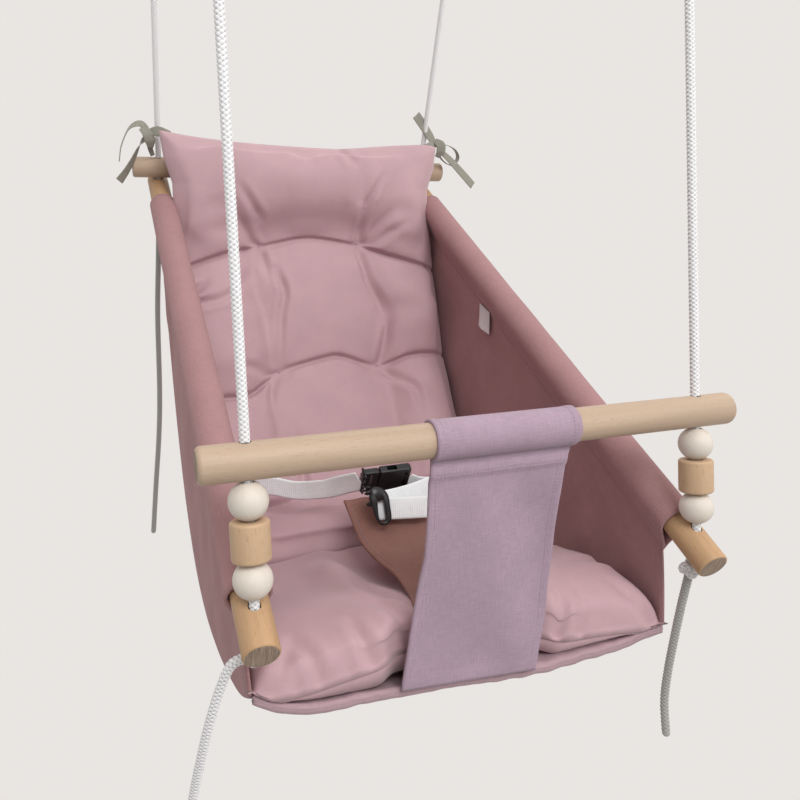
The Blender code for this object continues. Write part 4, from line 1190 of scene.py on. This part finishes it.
def seat_top(x, y, height, inside):
    """The seat cushion's upper side, pressed down under the flap and fuller beside it, with its pulls."""
    height = height * np.clip(y / 0.016, 0.02, 1) ** 0.6
    under_flap = 1 / (1 + np.exp((np.abs(x - 0.006) - 0.053) / 0.005))
    height = height - under_flap * np.clip(height - 0.018, 0, 1) * 0.75
    height = height + 0.0110 * bell(x, -0.070, 0.018) * bell(y, 0.145, 0.045) * inside
    right = np.clip((x - 0.045) / 0.03, 0, 1) * (1 - (np.abs(x) / 0.166) ** 4)
    height = height + 0.0090 * right * bell(y, 0.130, 0.060)
    for depth, width, route in SEAT_CREASES:
        height = crease(height, x, y, route, depth, width)
    return height


def front_pleats(x, y, number):
    """How far the small pleats of the front seam press in one side's cloth."""
    pressed = np.zeros(x.shape)
    for k in range(27):
        mark = -0.165 + 0.0127 * k + 0.0040 * wrinkle((k * 1.7, 3.0, number))
        deep = 0.0008 + 0.0018 * abs(wrinkle((k * 2.3, 8.0, number)))
        pressed += deep * bell(x, mark, 0.0034)
    return pressed * np.exp(-y / 0.012)


def seat_cushion():
    """The cushion on the strip, under the crotch strap."""
    length = length_of(smooth_line(SEAT_CUSHION_LINE, 0.001))
    sides = pillow("seat_cushion", CUT_WIDTH, length + 0.024, pressure=3.0)
    shaped = []
    for number, grid in enumerate(sides):
        x, y, height = filled_out(grid, SEAT_HALF, length, 0.0285 if number == 0 else 0.034, 0.60, 0.0)
        inside = height > 0
        if number == 0:
            height = seat_top(x, y, height, inside)
        height = np.where(inside, np.maximum(height - front_pleats(x, y, number), 0.0004), 0.0)
        y[0, 1:-1] = SEAM_INSET
        y[1, 1:-1] = SEAM_INSET - 0.0024
        height[1, 1:-1] = SEAM_LIP
        corner = (np.abs(x) / SEAT_HALF) ** 12 * np.exp(-np.clip(y, 0, 1) / 0.014)
        x = x + np.sign(x) * 0.0070 * corner
        shaped.append((x, y, height * (1 if number == 0 else -1) * (1 - 0.3 * np.clip(corner, 0, 1))))
    made = cushion_piece("seat_cushion_padding", *shaped, SEAT_CUSHION_LINE, "seat_cushion")
    settle(made.data, shaped[0][0].size)


def settle(mesh, top_count):
    """Bring the seat cushion's front seam to its line, and rest its lower side on the strip."""
    points = np.zeros(len(mesh.vertices) * 3, np.float32)
    mesh.vertices.foreach_get("co", points)
    x, y, z = (points.reshape(-1, 3).astype(float) - np.array(FRONT_BAR)).T
    depth = np.clip(y, 0, 1)
    seam = curve(x, FRONT_SEAM)
    z = z + (seam - SEAT_CUSHION_LINE[0][1]) * np.exp(-depth / 0.030)
    behind_panel = 1 / (1 + np.exp((np.abs(x + 0.003) - 0.066) / 0.0035))
    y = y + 0.0110 * behind_panel * np.exp(-depth / 0.040)
    floor = strip_height(x, depth) + 0.0012
    low = np.arange(len(x)) >= top_count
    below_seam = np.clip((seam - z - 0.0015) / 0.008, 0, 1)
    reach = np.where(low, np.exp(-((y / 0.030) ** 2)) * below_seam, 0.0)
    z = np.maximum(z * (1 - reach) + floor * reach, floor)
    points = np.stack([x, y, z], 1) + np.array(FRONT_BAR)
    mesh.vertices.foreach_set("co", points.astype(np.float32).ravel())
    mesh.update()


# ---------------------------------------------------------------- harness and trimmings

BUCKLE = at(-0.008, 0.200, -0.119)
BUCKLE_TURN = math.radians(25)
WEBBING_WIDTH = 0.020
WEBBING_RIB = 0.0002  # height of its ribs


def strap(name, route, up, width, surface, body, slot, replaces=(), rib=0.0, thickness=0.0013, columns=12,
          taper=None):
    """A flat strap along a route of points. up gives the direction across it, from its start to its end."""
    step = 0.0004 if rib else 0.0015
    line = smooth_line(route, step)
    marks = np.linspace(0, 1, len(line))
    across = read_at(marks, np.linspace(0, 1, len(up)), [tuple(u) for u in up])
    along = unit(np.gradient(line, axis=0))
    across = unit(across - along * (across * along).sum(1, keepdims=True))
    out = np.cross(along, across)
    place = np.linspace(-0.5, 0.5, columns)
    shares = np.interp(marks, np.linspace(0, 1, len(taper)), taper) if taper else np.ones(len(marks))
    widths = width * shares
    ripple = rib * np.sin(np.arange(len(line)) * step / 0.0019 * 2 * math.pi)
    edge = (1 - (2 * np.abs(place)) ** 8)[None, :]
    points = line[:, None] + across[:, None] * (place[None, :] * widths[:, None])[..., None]
    points = points + out[:, None] * (ripple[:, None] * edge)[..., None]
    made = cloth_sheet(name, points, surface, thickness, None, slot=slot, replaces=replaces)
    if body:
        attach(made, body)
    return made, length_of(line)


def webbing(name, route, up, body="seat", replaces=(), taper=None):
    """One stretch of ribbed webbing."""
    made, long = strap(name, route, up, WEBBING_WIDTH, WEB, body, "webbing", replaces, rib=WEBBING_RIB,
                       taper=taper)
    return made


def waist_belt():
    """Ribbed webbing from the seat's sides to the buckle, and back through the adjuster."""
    tilt = Vector((0.0, -math.sin(BUCKLE_TURN), math.cos(BUCKLE_TURN)))
    upright = Vector((0.0, -0.05, 1.0))
    slant = Vector((0.0, 0.42, 0.91))
    last = BUCKLE + Vector((-0.0172, 0, 0))
    left = [at(-0.140, 0.282, -0.150), at(-0.103, 0.266, -0.1425), at(-0.075, 0.254, -0.1460),
            at(-0.050, 0.234, -0.1390), at(-0.036, 0.216, -0.1280), last]
    made = webbing("waist_strap_left_webbing", left, [upright, upright, tilt],
                   None, ["waist_strap_left"])
    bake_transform(made)
    right = [BUCKLE + Vector((0.0325, 0, -0.0030)), at(0.038, 0.204, -0.1305), at(0.062, 0.214, -0.1380),
             at(0.105, 0.250, -0.148), at(0.150, 0.285, -0.158)]
    webbing("waist_strap_right_webbing", right, [tilt, upright, upright],
            replaces=["waist_strap_right"], taper=[0.6, 0.95, 1.0, 1.0, 1.0])
    turned = [at(-0.0190, 0.1765, -0.1313), at(-0.0060, 0.1780, -0.1318), at(0.0200, 0.1865, -0.1333),
              at(0.0500, 0.1990, -0.1335), at(0.0800, 0.2230, -0.1390), at(0.1050, 0.2470, -0.1470)]
    webbing("waist_strap_right_turn", turned, [slant, slant, upright])
    spare = [at(-0.0195, 0.1715, -0.1355), at(-0.0060, 0.1705, -0.1362), at(0.0200, 0.1700, -0.1385),
             at(0.0430, 0.1740, -0.1420), at(0.0750, 0.1880, -0.1470), at(0.0950, 0.2020, -0.1520)]
    webbing("waist_strap_right_spare", spare, [slant, slant, upright])


def plate_ring(name, outer, inner, thickness, matrix):
    """A flat plastic ring between two outlines of (x, z), with rounded edges."""
    loops = []
    for outline, inset in ((outer, -0.0007), (inner, 0.0007)):
        line = resampled(smooth_line([*outline, outline[0]], 0.0006), 0.0006)
        line = resampled(line, length_of(line) / 72)[:-1]
        loops.append((line, line + unit(line - line.mean(0)) * inset))
    (wide, wide_in), (hollow, hollow_out) = loops
    h = thickness / 2
    rings = [(wide_in, -h), (wide, -h + 0.0007), (wide, h - 0.0007), (wide_in, h), (hollow_out, h),
             (hollow, h - 0.0007), (hollow, -h + 0.0007), (hollow_out, -h), (wide_in, -h)]
    points = np.array([[(x, y, z) for x, z in loop] for loop, y in rings[:-1]])
    count = points.shape[1]
    faces = np.roll(grid_faces(len(rings), count, wrap=True)[:, ::-1], 1, axis=1) % points[..., 0].size
    mesh = mesh_from(name, points.reshape(-1, 3), faces)
    mesh.set_sharp_from_angle(angle=math.radians(60))
    return link(name, mesh, PLASTIC, "seat", "black_plastic", matrix=matrix)


def blocks(name, sizes, body, matrix):
    """Small rounded blocks in one piece, each (centre, half sizes)."""
    points, faces = [], []
    for centre, size in sizes:
        block = bmesh.new()
        bmesh.ops.create_cube(block, size=2.0)
        bmesh.ops.bevel(block, geom=block.edges[:] + block.verts[:], offset=0.5, segments=3, affect="EDGES")
        start = len(points)
        block.verts.index_update()
        points += [[c + v * s for c, v, s in zip(centre, vert.co, size)] for vert in block.verts]
        faces += [tuple(start + v.index for v in f.verts) for f in block.faces]
        block.free()
    return link(name, mesh_from(name, points, faces), PLASTIC, body, "black_plastic", matrix=matrix)


def buckle():
    """The side-release buckle keeps its CAD shapes, with rounded edges and ribs for grip."""
    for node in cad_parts:
        if node.startswith("buckle_"):
            repaint(node, PLASTIC)
            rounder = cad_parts[node].modifiers.new("round", "BEVEL")
            rounder.width = 0.0003
            rounder.segments = 2
            rounder.limit_method = "ANGLE"
            rounder.angle_limit = math.radians(50)
    turn = Matrix.Translation(BUCKLE) @ Matrix.Rotation(BUCKLE_TURN, 4, "X")
    ribs = [((-0.0150, 0.0, -0.0105 + 0.0070 * k), (0.0016, 0.0062, 0.0028)) for k in range(4)]
    blocks("buckle_plug_ribs", ribs, "buckle_plug", turn)
    ribs = [((0.0240 + 0.0032 * k, 0.0, 0.0), (0.0007, 0.0052, 0.0115)) for k in range(3)]
    blocks("buckle_socket_ribs", ribs, "seat", turn)


def adjuster():
    """The toothed ring under the buckle that the spare webbing runs through."""
    hang = Matrix.Translation(at(-0.0150, 0.1690, -0.1300)) @ Matrix.Rotation(math.radians(-25), 4, "X")
    hang = hang @ Matrix.Diagonal((0.66, 1.0, 0.74, 1.0))
    outer = [(-0.014, 0.020), (-0.006, 0.0225), (0.004, 0.019), (0.0110, 0.010), (0.0120, -0.006),
             (0.0115, -0.019), (0.0060, -0.0245), (-0.0040, -0.0245), (-0.0095, -0.0180), (-0.0130, -0.006),
             (-0.0165, 0.008)]
    inner = [(-0.0060, 0.0040), (-0.0010, 0.0050), (0.0035, 0.0040), (0.0040, -0.0060), (0.0038, -0.0180),
             (0.0010, -0.0215), (-0.0030, -0.0210), (-0.0062, -0.0160), (-0.0066, -0.0060)]
    plate_ring("buckle_adjuster", outer, inner, 0.0042, hang)
    teeth = [((-0.0165, 0.0, 0.0225), (0.0042, 0.0020, 0.0022)),
             ((-0.0185, 0.0, 0.0155), (0.0042, 0.0020, 0.0022)),
             ((-0.0180, 0.0, 0.0020), (0.0038, 0.0020, 0.0026))]
    blocks("buckle_adjuster_teeth", teeth, "seat", hang)


def ribbons():
    """The cushion's ribbons, tied round the rear ropes just above the back bar."""
    y_across = (0.0, 1.0, 0.15)
    flat = (0.25, 0.2, 1.0)
    parts = {
        "ribbon_tie_left": [
            ([(-0.160, 0.500, 0.196), (-0.172, 0.512, 0.201),
              (-0.181, 0.522, 0.198)], [flat, flat], 0.011, None),
            ([(-0.181, 0.523, 0.199), (-0.189, 0.527, 0.209), (-0.202, 0.528, 0.203), (-0.2115, 0.528, 0.184),
              (-0.2150, 0.528, 0.166)], [flat, y_across, y_across], 0.010, [0.7, 1.0, 1.0, 0.9]),
            ([(-0.181, 0.521, 0.196), (-0.190, 0.523, 0.187), (-0.200, 0.525, 0.168), (-0.208, 0.525, 0.155),
              (-0.2165, 0.524, 0.1440)], [flat, (0.6, 0.7, 0.3), (0.9, 0.4, 0.3)], 0.0105,
             [0.6, 0.9, 1.0, 1.0]),
            ([(-0.181, 0.522, 0.194), (-0.1800, 0.524, 0.183), (-0.1770, 0.528, 0.1735)],
             [(1, 0.2, 0), (1, 0.2, 0)], 0.0075, [1.0, 0.8, 0.7]),
            ([(-0.189, 0.517, 0.204), (-0.183, 0.514, 0.198), (-0.180, 0.5145, 0.190),
              (-0.1795, 0.519, 0.182)],
             [(1, 0.3, 0.3), (1, 0.3, 0.1)], 0.0125, [0.6, 1.0, 1.0, 0.5]),
        ],
        "ribbon_tie_right": [
            ([(0.158, 0.497, 0.190), (0.170, 0.507, 0.193),
              (0.182, 0.518, 0.192)], [flat, flat], 0.011, None),
            ([(0.184, 0.520, 0.193), (0.176, 0.524, 0.206), (0.166, 0.526, 0.220), (0.156, 0.526, 0.2320)],
             [(1, 0.2, 0.3), (0.9, 0.2, 0.6)], 0.0125, [0.6, 0.9, 1.0, 1.0]),
            ([(0.184, 0.520, 0.193), (0.198, 0.523, 0.196), (0.213, 0.524, 0.190), (0.2180, 0.524, 0.179),
              (0.208, 0.523, 0.170), (0.194, 0.520, 0.176), (0.185, 0.517, 0.186)],
             [y_across, y_across, y_across], 0.0095, [0.6, 1.0, 1.0, 1.0, 0.6]),
            ([(0.185, 0.517, 0.190), (0.199, 0.516, 0.180), (0.218, 0.517, 0.1640), (0.2400, 0.518, 0.1440)],
             [(0.5, 0.4, 0.8), (0.6, 0.3, 0.7)], 0.0110, [0.6, 0.9, 1.0, 1.0]),
            ([(0.179, 0.514, 0.201), (0.186, 0.511, 0.195), (0.187, 0.512, 0.187), (0.184, 0.517, 0.180)],
             [(1, -0.2, 0.3), (1, -0.2, 0.1)], 0.0120, [0.5, 1.0, 1.0, 0.5]),
        ],
    }
    for node, bands in parts.items():
        for k, (route, up, width, taper) in enumerate(bands):
            made, long = strap(f"{node}_band_{k + 1}", [at(*p) for p in route], up, width, RIBBON, "seat",
                               "ribbon", [node], thickness=0.0007, columns=8, taper=taper)


def side_label():
    """A blank woven label, sewn by its upper edge inside the right canvas."""
    rows, columns = 16, 14
    points = np.zeros((rows, columns, 3))
    for i in range(rows):
        drop = i / (rows - 1)
        for j in range(columns):
            across = j / (columns - 1) - 0.5
            x = 0.1672 - 0.0022 * drop**1.5 - 0.0012 * math.sin(across * 5 + 1.0) * drop
            points[i, j] = at(x, 0.3300 + across * 0.024 - 0.004 * drop,
                              0.0150 - 0.0250 * drop + 0.006 * across)
    hem = np.full((rows, columns), 0.6)
    hem[:2] = 1.0
    hem[-2:] = 1.0
    made = cloth_sheet("side_label_woven", points, LABEL, 0.0007, hem, body="seat", slot="label",
                       replaces=["side_label"])
    edge = facing(points[1, 1:-1] - np.array((0.0006, 0, 0)), (-1.0, 0, 0))
    stitches("side_label_stitches", [edge], LABEL, "seat", "label", pitch=0.002, length=0.0014,
             radius=0.00018)


# ---------------------------------------------------------------- studio

BACKGROUND = (0.8148, 0.7835, 0.7605)
DARKEST = 0.55  # brightness of the background behind the camera, where it shades the folds


LIGHTS = (  # name, place, power, size
    ("key", (0.0, -2.0, 1.5), 46.0, 1.3),
    ("fill", (1.9, -1.3, 0.5), 8.0, 1.6),
    ("rim", (0.5, 1.8, 1.3), 8.0, 1.4))


def graded(tree, value, low, high, darkest):
    """The background's colour, darker where value is under low, full from high on."""
    share = tree.nodes.new("ShaderNodeMapRange")
    share.inputs["From Min"].default_value = low
    share.inputs["From Max"].default_value = high
    share.inputs["To Min"].default_value = darkest
    share.inputs["To Max"].default_value = 1.0
    tree.links.new(value, share.inputs["Value"])
    return share.outputs[0]


def studio():
    """A plain pale floor far below the swing, in the background's colour, and soft light."""
    mesh = mesh_from("floor", [(-40, -40, 0), (40, -40, 0), (40, 40, 0), (-40, 40, 0)], [(0, 1, 2, 3)], False)
    floor = link("floor", mesh, None)
    floor.location = (0.0, 0.0, -1.9)
    pale = bpy.data.materials.new("pale_floor")
    pale.use_nodes = True
    tree = pale.node_tree
    tree.nodes.remove(tree.nodes["Principled BSDF"])
    glow = tree.nodes.new("ShaderNodeEmission")
    glow.inputs["Color"].default_value = (*BACKGROUND, 1.0)
    tree.links.new(glow.outputs[0], tree.nodes["Material Output"].inputs["Surface"])
    mesh.materials.append(pale)
    world = bpy.data.worlds.new("studio")
    world.use_nodes = True
    bpy.context.scene.world = world
    bpy.context.scene.view_settings.view_transform = "Standard"
    sky = world.node_tree.nodes["Background"]
    sky.inputs["Color"].default_value = (*BACKGROUND, 1.0)
    graded_shaders = (
        (tree, glow, (0.50, 0.80, 0.0), (-1.3, 0.4)),
        (world.node_tree, sky, (0.62, 0.70, 0.35), (-0.75, 0.10)))
    for shader_tree, shader, towards, span in graded_shaders:
        coords = shader_tree.nodes.new("ShaderNodeTexCoord")
        along = shader_tree.nodes.new("ShaderNodeVectorMath")
        along.operation = "DOT_PRODUCT"
        along.inputs[1].default_value = towards
        shader_tree.links.new(coords.outputs["Object" if shader == glow else "Generated"], along.inputs[0])
        strength = graded(shader_tree, along.outputs["Value"], *span, DARKEST)
        shader_tree.links.new(strength, shader.inputs["Strength"])
    for name, place, energy, size in LIGHTS:
        data = bpy.data.lights.new(name, "AREA")
        data.energy = energy
        data.size = size
        lamp = bpy.data.objects.new(name, data)
        bpy.context.scene.collection.objects.link(lamp)
        lamp.location = place
        lamp.rotation_euler = (Vector((0.0, 0.05, -0.45)) - Vector(place)).to_track_quat("-Z", "Y").to_euler()


def build():
    camera()
    for side in SIDES:
        for end in BARS:
            upper_rope(side, end)
            lower_rope(side, end)
    woodwork()
    beads()
    ceiling_hardware()
    for name, side in SIDES.items():
        side_canvas(name, side)
    seat_canvas()
    crotch_panel()
    crotch_strap()
    back_cushion()
    seat_cushion()
    waist_belt()
    buckle()
    adjuster()
    ribbons()
    side_label()
    studio()


build()
